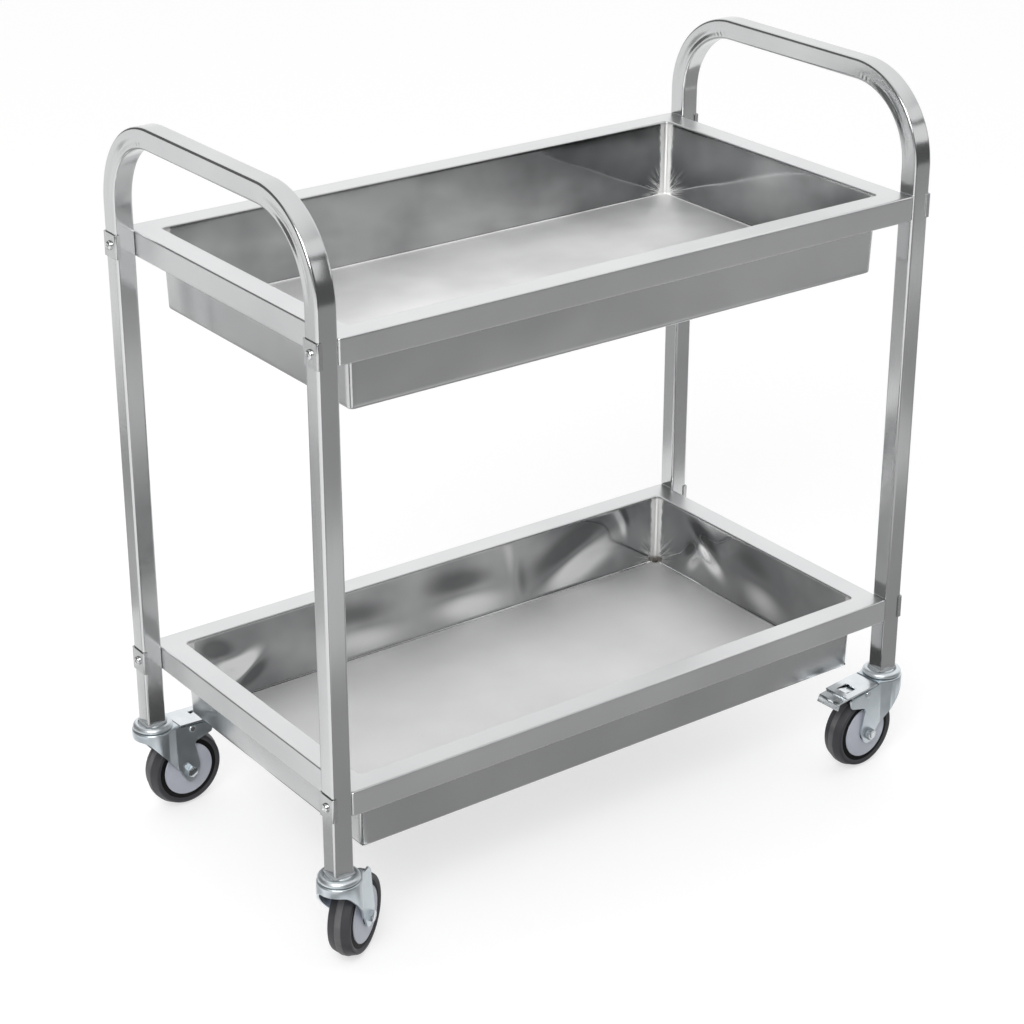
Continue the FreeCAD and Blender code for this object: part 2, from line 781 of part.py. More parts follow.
def wheel_cover():
    """Slightly domed disc that closes one side of the wheel, seated on the rim's face."""
    body = add("PartDesign::Body", "wheel_cover")
    profile = new_sketch(body, "cover_profile")
    seat = "rim_width / 2"
    hole = "hub_radius + running_gap"
    section = [
        ("cover_radius", seat),
        ("cover_radius", f"{seat} + cover_sheet", "cover_sheet / 2"),
        (hole, f"{seat} + cover_sheet + cover_dome"),
        (hole, f"{seat} + cover_dome"),
        ("rim_radius - rim_wall", seat),
    ]
    outline(profile, section)
    turned(body, profile)
    other = add("Part::Mirroring", "wheel_cover_far")
    other.Source = body
    other.Normal = FreeCAD.Vector(0, 1, 0)
    return group_of([body, other], "wheel_cover_pair")


def brake_pedal():
    """Pressed foot pedal: a plate over the cheeks with a lanced window and a stepped, curled
    toe, and two flanges under it that reach down between the cheeks to the brake pin."""
    body = add("PartDesign::Body", "brake_pedal")
    pin_x, pin_z = BRAKE_X, "-brake_pin_drop"
    eye = "pedal_eye"
    under = "pedal_sheet"
    flange_end = f"{pin_x} + 5 * {eye}"
    side = new_sketch(body, "pedal_flange", "XZ_Plane")
    flange = [
        (f"{pin_x} - {eye}", f"{pin_z} - {eye}", f"{eye} * head_round_ratio"),
        (f"{pin_x} + {eye}", f"{pin_z} - {eye}", f"{eye} * head_round_ratio"),
        (flange_end, pedal_top(flange_end, f"{under} + {eye}")),
        (flange_end, pedal_top(flange_end, f"{under} / 2")),
        (f"{pin_x} - {eye}", pedal_top(f"{pin_x} - {eye}", f"{under} / 2")),
    ]
    outline(side, flange)
    feature(body, "Pad", side, Length=f"2 * ({PEDAL_SIDE})", SideType="Symmetric")
    hollow = new_sketch(body, "pedal_hollow", "XZ_Plane")
    ahead, behind = f"{pin_x} - 2 * {eye}", f"{flange_end} + {eye}"
    deep = f"{pin_z} - 2 * {eye}"
    below, above = [(ahead, deep), (behind, deep)], [(behind, pedal_top(behind)), (ahead, pedal_top(ahead))]
    outline(hollow, [*below, *above])
    feature(body, "Pocket", hollow, Length=f"2 * ({PEDAL_SIDE} - pedal_sheet)", SideType="Symmetric")
    plate = new_sketch(body, "pedal_plate", "XZ_Plane")
    front, back = "crown_radius + pedal_front", "caster_trail + plate_reach"
    below = [(front, pedal_top(front, under)), (back, pedal_top(back, under))]
    outline(plate, [*below, (back, pedal_top(back)), (front, pedal_top(front))])
    feature(body, "Pad", plate, Length=f"2 * {FORK_OUT}", SideType="Symmetric")
    toe = new_sketch(body, "pedal_toe", "XZ_Plane")
    bend, tip = "caster_trail + toe_reach", "caster_trail + toe_reach + toe_lip"
    start = f"{back} - pedal_sheet"
    low, lower = "toe_step", f"toe_step + {under}"
    lip = [
        (start, pedal_top(start, lower)),
        (bend, pedal_top(bend, lower), "pedal_sheet"),
        (f"{tip} - pedal_sheet", pedal_top(bend, f"{lower} + toe_drop")),
        (tip, pedal_top(bend, f"{lower} + toe_drop - pedal_sheet / 2")),
        (f"{bend} + pedal_sheet", pedal_top(f"{bend} + pedal_sheet", low), "2 * pedal_sheet"),
        (start, pedal_top(start, low)),
    ]
    outline(toe, lip)
    feature(body, "Pad", toe, Length="toe_width", SideType="Symmetric")
    window = new_sketch(body, "pedal_window")
    near, far = "caster_trail + window_start", "caster_trail + window_start + window_length"
    wide = "window_width / 2"
    frame = [(near, f"-{wide}"), (far, f"-{wide}"), (far, wide), (near, wide)]
    outline(window, [(x, y, "tongue_margin / 2") for x, y in frame])
    feature(body, "Pocket", window, Type="ThroughAll")
    tongue = new_sketch(body, "pedal_tongue", "XZ_Plane")
    tip_x = f"{near} + tongue_margin"
    blade = [
        (f"{far} + tongue_margin", pedal_top(far, under)),
        (f"{far} + tongue_margin", pedal_top(f"{far} + tongue_margin")),
        (far, pedal_top(far)),
        (tip_x, pedal_top(tip_x, "tongue_drop")),
        (tip_x, pedal_top(tip_x, f"tongue_drop + {under}")),
    ]
    outline(tongue, blade)
    feature(body, "Pad", tongue, Length="window_width - 2 * tongue_margin", SideType="Symmetric")
    eyes = new_sketch(body, "pedal_eyes", "XZ_Plane")
    circle(eyes, pin_x, pin_z, "brake_pin_radius + fit_clearance")
    bore(body, eyes)
    return body


def brake_shoe():
    """Hard block held between the pedal's flanges, hollowed to the tyre's curve at full throw."""
    body = add("PartDesign::Body", "brake_shoe")
    block = new_sketch(body, "shoe_block", "XZ_Plane")
    start = "caster_trail + shoe_start"
    end = f"{start} + shoe_length"
    seat = "tongue_drop + pedal_sheet + pedal_gap"
    sole = "-axle_drop"
    shape = [(start, sole), (end, sole), (end, pedal_top(end, seat)), (start, pedal_top(start, seat))]
    outline(block, shape)
    feature(body, "Pad", block, Length=f"2 * ({PEDAL_SIDE} - pedal_sheet)", SideType="Symmetric")
    arm_x, arm_z = "(-brake_pin_back)", "(brake_pin_drop - axle_drop)"
    cos, sin = "cos(brake_throw * 1 deg)", "sin(brake_throw * 1 deg)"
    bite = new_sketch(body, "shoe_bite", "XZ_Plane")
    bite_x = f"{BRAKE_X} + {arm_x} * {cos} - {arm_z} * {sin}"
    bite_z = f"-brake_pin_drop + {arm_x} * {sin} + {arm_z} * {cos}"
    circle(bite, bite_x, bite_z, f"{WHEEL_RADIUS} + shoe_clearance")
    bore(body, bite)
    return body


def brake_pin():
    """Pivot rivet across the hood, headed outside both cheeks."""
    body = add("PartDesign::Body", "brake_pin")
    profile = new_sketch(body, "brake_pin_profile")
    half = [
        ("0", f"{FORK_OUT} + brake_rivet_height"),
        ("brake_rivet_radius", f"{FORK_OUT} + brake_rivet_height", "brake_rivet_height * head_round_ratio"),
        ("brake_rivet_radius", FORK_OUT),
        ("brake_pin_radius", FORK_OUT),
    ]
    mirrored = [(corner[0], f"-({corner[1]})", *corner[2:]) for corner in half[::-1]]
    outline(profile, [*half, *mirrored])
    turned(body, profile)
    return body


# End frames, one at each end of the cart
tube = end_frame()
for side, sign in (("left", -1), ("right", 1)):
    hand_in(copy_of(tube, f"{side}_tube", x=f"{sign} * {LEG_X}"), f"{side}_end_frame")

# Trays, with the bracket and weld nut behind each of their four screws
tray = bowl_tray()
bracket = corner_bracket()
bracket_mirrored = add("Part::Mirroring", "corner_bracket_mirrored")
bracket_mirrored.Source = bracket
bracket_mirrored.Normal = FreeCAD.Vector(0, 1, 0)
nut = hex_nut("weld_nut", "nut_flats", "nut_height", "screw_radius + fit_clearance / 2")
clamp = saddle()
screw = tray_screw()
saddles, screws, nuts = [], [], []
for tier, rim in RIMS.items():
    axis_z = f"{rim} - screw_drop"
    hand_in(copy_of(tray, f"{tier}_bowl", z=rim), f"{tier}_tray")
    brackets = []
    for sx in (-1, 1):
        turn = "0" if sx < 0 else "180"
        for sy in (-1, 1):
            tag = f"{tier}_{sx + 1}_{sy + 1}"
            y = f"{sy} * {LEG_Y}"
            saddles.append(copy_of(clamp, f"saddle_{tag}", f"{sx} * {LEG_X}", y, axis_z, turn))
            seat = f"{sx} * (overall_length / 2 + saddle_sheet)"
            screws.append(copy_of(screw, f"screw_{tag}", seat, y, axis_z, turn))
            seat = f"{sx} * ({TRAY_HALF_X} - tray_sheet - bracket_sheet)"
            nuts.append(copy_of(nut, f"nut_{tag}", seat, y, axis_z, turn))
            shape = bracket if sx == sy else bracket_mirrored
            corner_x = f"{sx} * ({TRAY_HALF_X} - tray_sheet)"
            corner_y = f"{sy} * ({TRAY_HALF_Y} - tray_sheet)"
            brackets.append(copy_of(shape, f"bracket_{tag}", corner_x, corner_y, rim, turn))
    hand_in(group_of(brackets, f"{tier}_brackets"), f"{tier}_tray_corner_brackets")
hand_in(group_of(nuts, "weld_nuts"), "tray_weld_nuts")
hand_in(group_of(saddles, "saddles"), "leg_saddle_plates")
hand_in(group_of(screws, "screws"), "tray_screws")

# Casters, each set down under its leg and turned the way it trails
fixed = {"stem": caster_stem(), "swivel_cap": swivel_cap()}
swivelling = {"swivel_balls": ball_ring()}
on_axle = {
    "axle_bolt": axle_bolt(),
    "axle_nut": axle_nut(),
    "axle_sleeve": axle_sleeve(),
    "wheel_core": wheel_core(),
    "tyre": tyre(),
    "wheel_covers": wheel_cover(),
}
braking = {"brake_pedal": brake_pedal(), "brake_shoe": brake_shoe()}
pivot = brake_pin()
bind(pivot, "Placement.Base.x", BRAKE_X)
bind(pivot, "Placement.Base.z", "-brake_pin_drop")
braking["brake_pin"] = pivot
for piece in on_axle.values():
    bind(piece, "Placement.Base.x", "caster_trail")
    bind(piece, "Placement.Base.z", "-axle_drop")
forks = {False: fork("plain_fork", False), True: fork("braked_fork", True)}
insert = leg_insert()
inserts = []
for place, (sx, sy, braked) in CASTERS.items():
    x, y = f"{sx} * {LEG_X}", f"{sy} * {LEG_Y}"
    inserts.append(copy_of(insert, f"{place}_insert", x, y, FOOT))
    pieces = {**fixed, **swivelling, "fork": forks[braked], **on_axle}
    if braked:
        pieces.update(braking)
    for piece, master in pieces.items():
        turn = "0" if piece in fixed else f"{place}_turn"
        hand_in(copy_of(master, f"{place}_{piece}_set", x, y, FOOT, turn), f"{place}_{piece}")
hand_in(group_of(inserts, "inserts"), "leg_inserts")

doc.recompute()
failed = [item.Name for item in doc.Objects if {"Invalid", "Error"} & set(item.State)]
if failed:
    raise RuntimeError(f"these did not build: {failed}")
for item in subparts:
    if item.Shape.isNull() or not item.Shape.isValid():
        raise RuntimeError(f"{item.Label} has no valid shape")
os.makedirs("parts", exist_ok=True)
for item in subparts:
    item.Shape.exportStep(f"parts/{item.Label}.step")
    solids = item.Shape.Solids
    print(f"{item.Label}: {len(solids)} solids, {item.Shape.Volume / 1000:.2f} cm3")
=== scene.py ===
"""Looks of a two-tier stainless service cart on four swivel casters, two of them braked.
Metres, in the frame of the solids: +X along the cart, +Y to the back, +Z up."""

import math

import bmesh
import bpy
import numpy as np
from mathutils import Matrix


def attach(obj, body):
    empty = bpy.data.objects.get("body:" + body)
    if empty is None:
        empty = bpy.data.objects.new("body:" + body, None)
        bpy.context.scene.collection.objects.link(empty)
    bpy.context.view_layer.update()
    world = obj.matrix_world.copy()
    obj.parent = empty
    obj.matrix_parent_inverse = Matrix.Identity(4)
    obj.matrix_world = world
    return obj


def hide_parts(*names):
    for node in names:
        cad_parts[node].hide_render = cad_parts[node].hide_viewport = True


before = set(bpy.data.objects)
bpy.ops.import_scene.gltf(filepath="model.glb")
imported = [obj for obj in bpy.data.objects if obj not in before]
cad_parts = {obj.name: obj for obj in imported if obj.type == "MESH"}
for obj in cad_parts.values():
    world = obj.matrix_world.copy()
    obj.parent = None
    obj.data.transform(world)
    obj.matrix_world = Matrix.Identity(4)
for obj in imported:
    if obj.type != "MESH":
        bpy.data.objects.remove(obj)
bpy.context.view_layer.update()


# End frames: one 25 mm square stainless tube each, 1.2 mm thick, bent cold into an upside-down U
# whose legs carry the trays and whose top is the push handle. The bends draw the walls in slightly,
# and the tube was belt-polished along its length.
def linear(code):
    """An sRGB hex colour as linear red, green, blue and alpha."""
    parts = np.array([int(code[i:i + 2], 16) for i in (1, 3, 5)]) / 255
    low = parts / 12.92
    high = ((parts + 0.055) / 1.055) ** 2.4
    return (*np.where(parts <= 0.04045, low, high), 1.0)


def join(tree, made, links):
    """Link nodes into one of the tree's nodes; links are (input, node, output) triples."""
    for target, source, output in links:
        tree.links.new(source.outputs[output], made.inputs[target])


def add(tree, kind, links=(), **settings):
    """A shader node of the tree with its links: settings are its properties, or its inputs by name with
    _ for a space."""
    made = tree.nodes.new("ShaderNode" + kind)
    for name, setting in settings.items():
        socket = made.inputs.get(name.replace("_", " "))
        if socket is not None and not hasattr(made, name):
            socket.default_value = setting
        else:
            setattr(made, name, setting)
    join(tree, made, links)
    return made


def new_material(name, **settings):
    """A material with nothing but a shader of those settings: the material, its tree and the shader."""
    material = bpy.data.materials.new(name)
    material.use_nodes = True
    tree = material.node_tree
    tree.nodes.clear()
    shader = add(tree, "BsdfPrincipled", **settings)
    add(tree, "OutputMaterial", [("Surface", shader, "BSDF")])
    return material, tree, shader


def finished(material, shader, tint, gloss, relief=None):
    """The material with a shader fed by noise nodes: tint is a node with the colours at its low and high
    end, gloss a node with the roughnesses there, and relief a node with a bump's strength and distance."""
    tree = material.node_tree
    colour = add(tree, "Mix", [("Factor", tint[0], "Fac")], data_type="RGBA",
                 A=linear(tint[1]), B=linear(tint[2]))
    rough = add(tree, "MapRange", [("Value", gloss[0], "Fac")], To_Min=gloss[1], To_Max=gloss[2])
    join(tree, shader, [("Base Color", colour, "Result"), ("Roughness", rough, "Result")])
    if relief:
        bump = add(tree, "Bump", [("Height", relief[0], "Fac")], Strength=relief[1], Distance=relief[2])
        join(tree, shader, [("Normal", bump, "Normal")])
    return material


def ring_of(half_a, half_b, radius, arc, steps_a, steps_b):
    """Rounded rectangles, one row each, anticlockwise from the lower right corner: four quarter
    circles of arc steps, joined by straight sides cut into steps_a and steps_b even steps."""
    half_a, half_b, radius = (np.reshape(v, (-1, 1)).astype(float) for v in (half_a, half_b, radius))
    quarter = np.linspace(0, math.pi / 2, arc + 1)
    corners = []
    for k, (sign_a, sign_b) in enumerate(((1, -1), (1, 1), (-1, 1), (-1, -1))):
        angle = quarter + (k - 1) * math.pi / 2
        a = sign_a * (half_a - radius) + radius * np.cos(angle)
        b = sign_b * (half_b - radius) + radius * np.sin(angle)
        corners.append(np.stack([a, b], axis=-1))
    rows = []
    for k, steps in enumerate((steps_b, steps_a, steps_b, steps_a)):
        share = np.linspace(0, 1, steps + 1)[1:-1, None]
        start, end = corners[k][:, -1:], corners[(k + 1) % 4][:, :1]
        rows += [corners[k], start + (end - start) * share]
    return np.concatenate(rows, axis=1)


def quads(rows, columns, wrap=(False, False), first=0):
    """Four-sided faces between neighbours of a rows by columns grid, numbered row by row."""
    r, c = np.meshgrid(np.arange(rows - (not wrap[0])), np.arange(columns - (not wrap[1])), indexing="ij")
    below, right = (r + 1) % rows, (c + 1) % columns
    corners = (r * columns + c, r * columns + right, below * columns + right, below * columns + c)
    return np.stack(corners, axis=-1).reshape(-1, 4) + first


def piece(name, points, faces, material, slot, body="cart", outward=True):
    """A mesh object that rides on a body, smooth but for its sharp edges; outward closes a shell's
    poles and turns its faces out."""
    mesh = bpy.data.meshes.new(name)
    mesh.from_pydata(np.reshape(points, (-1, 3)).tolist(), [], [list(map(int, f)) for f in faces])
    mesh.materials.append(material)
    if outward:
        shell = bmesh.new()
        shell.from_mesh(mesh)
        bmesh.ops.remove_doubles(shell, verts=shell.verts, dist=1e-7)
        bmesh.ops.recalc_face_normals(shell, faces=shell.faces)
        shell.to_mesh(mesh)
        shell.free()
    mesh.shade_smooth()
    mesh.set_sharp_from_angle(angle=math.radians(38))
    made = bpy.data.objects.new(name, mesh)
    bpy.context.scene.collection.objects.link(made)
    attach(made, body)
    return made


def keep(made, name, values):
    """Store one vector for each point of a piece, for its material to read."""
    store = made.data.attributes.new(name, "FLOAT_VECTOR", "POINT")
    store.data.foreach_set("vector", np.asarray(values, np.float32).ravel())


TUBE, WALL, TUBE_ROUND = 0.025, 0.0012, 0.003
LEG_X, LEG_Y, FOOT = 0.4125, 0.2125, 0.128
HANDLE_LINE, BEND = 0.8875, 0.098
LEG_STEPS, BEND_STEPS, BAR_STEPS = 60, 96, 24


def handle_path():
    """Centre line of a frame: length so far, y, z, angle turned so far, and how far each point is into
    a bend. It runs up one leg, round a quarter circle, across, round another and down."""
    leg, bend, bar = HANDLE_LINE - BEND - FOOT, BEND * math.pi / 2, 2 * (LEG_Y - BEND)
    knots = np.cumsum([0, leg, bend, bar, bend, leg])
    cuts = (LEG_STEPS, BEND_STEPS, BAR_STEPS, BEND_STEPS, LEG_STEPS)
    runs = [np.linspace(a, b, n, endpoint=False) for a, b, n in zip(knots, knots[1:], cuts)]
    length = np.append(np.concatenate(runs), knots[-1])
    turned = np.clip((length - knots[1]) / BEND, 0, math.pi / 2)
    turned += np.clip((length - knots[3]) / BEND, 0, math.pi / 2)
    steps = np.diff(length)
    middle = (turned[1:] + turned[:-1]) / 2
    chord = np.where(np.diff(turned) > 0, np.sinc(np.diff(turned) / 2 / math.pi), 1.0)
    y = -LEG_Y + np.append(0, np.cumsum(steps * chord * np.sin(middle)))
    z = FOOT + np.append(0, np.cumsum(steps * chord * np.cos(middle)))
    into = np.sin(2 * turned) ** 2
    return length, y, z, turned, into


def polished_tube():
    """Stainless tube, belt-polished: bright, with fine streaks along the tube and a slow cloud of some
    110 mm."""
    material, tree, shader = new_material("polished_stainless_tube", Metallic=1.0)
    laid = add(tree, "Attribute", attribute_name="laid")
    # the belt's streaks are 0.6 mm apart here and 170 mm long, coarser than real ones so that they show
    streaks = add(tree, "VectorMath", [(0, laid, "Vector")], operation="MULTIPLY")
    streaks.inputs[1].default_value = (6, 1600, 1)
    fine = add(tree, "TexNoise", [("Vector", streaks, "Vector")], Scale=1.0, Detail=3.0)
    cloud = add(tree, "TexNoise", [("Vector", laid, "Vector")], Scale=9.0, Detail=2.0)
    return finished(material, shader, (cloud, "#c3c4c5", "#d8d9d9"), (fine, 0.10, 0.22),
                    (fine, 0.05, 0.0002))


tube_steel = polished_tube()
TUBE_ARC, TUBE_STEPS, ON_FACE = 8, 18, 0.9
DRAWN_IN, CREASE, PUCKER, PUCKER_HIGH = 0.0007, 0.0011, 0.007, 0.0004
# a crease's depth varies along the bend by this share, in a sine of so many times the angle turned
UNEVEN, BEATS = 0.25, 9
# where creases and puckers lie across a side face, as shares of its half width, and how wide they are
CREASE_AT, CREASE_WIDE, PUCKER_AT, PUCKER_WIDE = -0.25, 0.32, -0.55, 0.25
# puckers sit this many radians into a bend from the bar, over this spread, and start at this angle
PUCKER_TURN, PUCKER_SPREAD, PUCKER_START = 0.18, 0.09, 0.08
# the square section is carried along the path; in the bends its side faces sink by a bell across the
# face, which the puckers ruffle by a sine of the length, and its top and bottom sink by a parabola
for end, sign in (("left", -1), ("right", 1)):
    length, y, z, turned, into = handle_path()
    bent = np.abs(turned - math.pi / 2)
    puckered = np.sin(2 * math.pi * length / PUCKER) * np.clip(bent / PUCKER_START, 0, 1)
    puckered *= np.exp(-((bent - PUCKER_TURN) / PUCKER_SPREAD) ** 2)
    creased = into * (1 + UNEVEN * np.sin(BEATS * turned))
    shells = []
    for half, radius in ((TUBE / 2, TUBE_ROUND), (TUBE / 2 - WALL, TUBE_ROUND - WALL)):
        section = ring_of(half, half, radius, TUBE_ARC, TUBE_STEPS, TUBE_STEPS)[0]
        across, out = section[:, 0], section[:, 1]
        flat = np.clip(1 - (across / half) ** 2, 0, 1)
        rise = out / half
        crease = np.exp(-((rise - CREASE_AT) / CREASE_WIDE) ** 2) * np.clip(1 - rise ** 2, 0, 1)
        pucker = np.exp(-((rise - PUCKER_AT) / PUCKER_WIDE) ** 2) * np.clip(1 - rise ** 2, 0, 1)
        sunk = CREASE * crease * creased[:, None] + PUCKER_HIGH * pucker * puckered[:, None]
        sunk *= np.abs(across) > ON_FACE * half
        drawn = DRAWN_IN * flat * into[:, None] * (np.abs(out) > ON_FACE * half)
        across, out = across - np.sign(across) * sunk, out - np.sign(out) * drawn
        side = turned[:, None] - math.pi / 2
        shells.append(np.stack([
            sign * LEG_X + across,
            y[:, None] + out * np.sin(side),
            z[:, None] + out * np.cos(side),
        ], axis=-1))
    rows, columns = shells[0].shape[:2]
    inner = rows * columns
    faces = [*quads(rows, columns, (False, True)), *quads(rows, columns, (False, True), inner)]
    for row in (0, rows - 1):
        loop = np.arange(columns) + row * columns
        faces += list(np.stack([loop, np.roll(loop, -1), np.roll(loop, -1) + inner, loop + inner], axis=-1))
    tube = piece(f"{end}_bent_tube", np.stack(shells), faces, tube_steel, "stainless_tube")
    girth = np.linspace(0, 4 * TUBE, columns, endpoint=False)
    laid = np.stack(np.broadcast_arrays(length[:, None], girth[None], 0.0), axis=-1)
    keep(tube, "laid", np.stack([laid, laid]))
    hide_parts(f"{end}_end_frame")


# Leg plugs: square nylon mouldings knocked into the feet of the tubes. A thin flange under each tube's
# end spreads the load, and the caster's stem screws up through the middle.
def moulded(name, light, dark, low, high, peel_mm, gloss=0.5):
    """Moulded plastic or rubber: the colour drifts slowly over some 15 mm, and the surface keeps the
    fine peel of the mould, drawn at peel_mm so that it shows."""
    material, tree, shader = new_material(name, Specular_IOR_Level=gloss)
    place = add(tree, "TexCoord")
    drift = add(tree, "TexNoise", [("Vector", place, "Object")], Scale=1000 / 15, Detail=3.0)
    peel = add(tree, "TexNoise", [("Vector", place, "Object")], Scale=1000 / peel_mm, Detail=2.0)
    return finished(material, shader, (drift, dark, light), (peel, low, high), (peel, 0.15, 0.0002))


def dress(node, material, edge=0.0):
    """Give a solid its finish; edge breaks its sharp edges by that much, as tumbling does."""
    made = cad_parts[node]
    made.material_slots[0].material = material
    if edge:
        joined = made.modifiers.new("joined", "WELD")
        joined.merge_threshold = 1e-6
        broken = made.modifiers.new("broken_edges", "BEVEL")
        broken.width, broken.segments, broken.angle_limit = edge, 2, math.radians(35)
        broken.harden_normals = True


dress("leg_inserts", moulded("moulded_grey_nylon", "#b4b6b8", "#a6a8aa", 0.4, 0.55, 1.2), 0.0003)


# Trays: 0.8 mm stainless sheet, folded. From the hem under the skirt the sheet runs up the skirt, over
# the flat rim and down into a bowl with slightly leaning walls. The bowl's four upright corners are
# welded and ground back to a matt band, and the thin walls carry the shallow dents of handling.
SHEET = 0.0008
TRAY_X, TRAY_Y = 0.400, 0.225
RIM, SKIRT, HEM = 0.030, 0.030, 0.009
FOLD, FLOOR_FOLD, GUARD = 0.002, 0.0025, 0.001
DEPTH, LEAN = 0.0962, 0.0025
RIM_CORNER, BOWL_CORNER = 0.003, 0.005
ARC, LONG_STEPS, SHORT_STEPS, WALL_STEPS, FLOOR_STEPS = 6, 232, 122, 30, 12
# bulges fade towards corners, the floor's edge and the folds, where the sheet is stiff; the last number
# tips the painted highlight and shade on the dents to one side
STIFF_CORNER, STIFF_EDGE, STIFF_FOLD, CROWDED, LIT_SLANT = 0.02, 0.15, 0.7, 0.8, 0.5
FLOOR_WAVES = [(0.0003, 0.31, 0.52, 0.1), (0.0002, 0.17, 0.35, 0.4)]


def quarter(inset, level, radius, start, end, steps=5):
    """A fold seen in section: points of a circle of that radius about (inset, level)."""
    angle = np.radians(np.linspace(start, end, steps))
    return np.stack([inset + radius * np.cos(angle), level + radius * np.sin(angle)], axis=-1)


def tray_section():
    """The sheet's show side in section, as (inset from the skirt, height under the rim), with how far
    down the bowl's wall each point is, from 0 to 1."""
    wall_top, wall_foot = -FOLD, FLOOR_FOLD - DEPTH
    drop = np.linspace(wall_top, wall_foot, WALL_STEPS)[:, None]
    share = (drop - wall_top) / (wall_foot - wall_top)
    wall = np.concatenate([RIM + LEAN * share, drop], axis=1)
    skirt = np.array([FOLD / 2 - SKIRT, FOLD - SKIRT, -FOLD - GUARD, -FOLD])
    skirt = np.stack([np.zeros(4), skirt], axis=-1)
    flat = np.array([FOLD, FOLD + GUARD, RIM - FOLD - GUARD, RIM - FOLD])
    flat = np.stack([flat, np.zeros(4)], axis=-1)
    floor_in = RIM + LEAN + FLOOR_FOLD
    runs = [
        np.array([[HEM, -SKIRT], [HEM / 2, -SKIRT]]),
        quarter(FOLD / 2, FOLD / 2 - SKIRT, FOLD / 2, 270, 180),
        skirt[1:],
        quarter(FOLD, -FOLD, FOLD, 180, 90)[1:],
        flat[1:],
        quarter(RIM - FOLD, -FOLD, FOLD, 90, 0)[1:],
        wall[1:],
        quarter(floor_in, FLOOR_FOLD - DEPTH, FLOOR_FOLD, 180, 270)[1:],
    ]
    section = np.concatenate(runs)
    before = sum(len(run) for run in runs[:6])
    depth = np.zeros(len(section))
    depth[before:before + WALL_STEPS - 1] = share[1:, 0]
    depth[before + WALL_STEPS - 1:] = 1.0
    return section, depth


def ripple(along, across, waves):
    """A sum of sine waves over two distances, each wave (height, length along, length across, phase)."""
    total = np.zeros(np.broadcast(along, across).shape)
    for height, long, wide, phase in waves:
        total += (height * np.sin(2 * math.pi * (along / long + phase))
                  * np.cos(2 * math.pi * (across / wide + phase)))
    return total


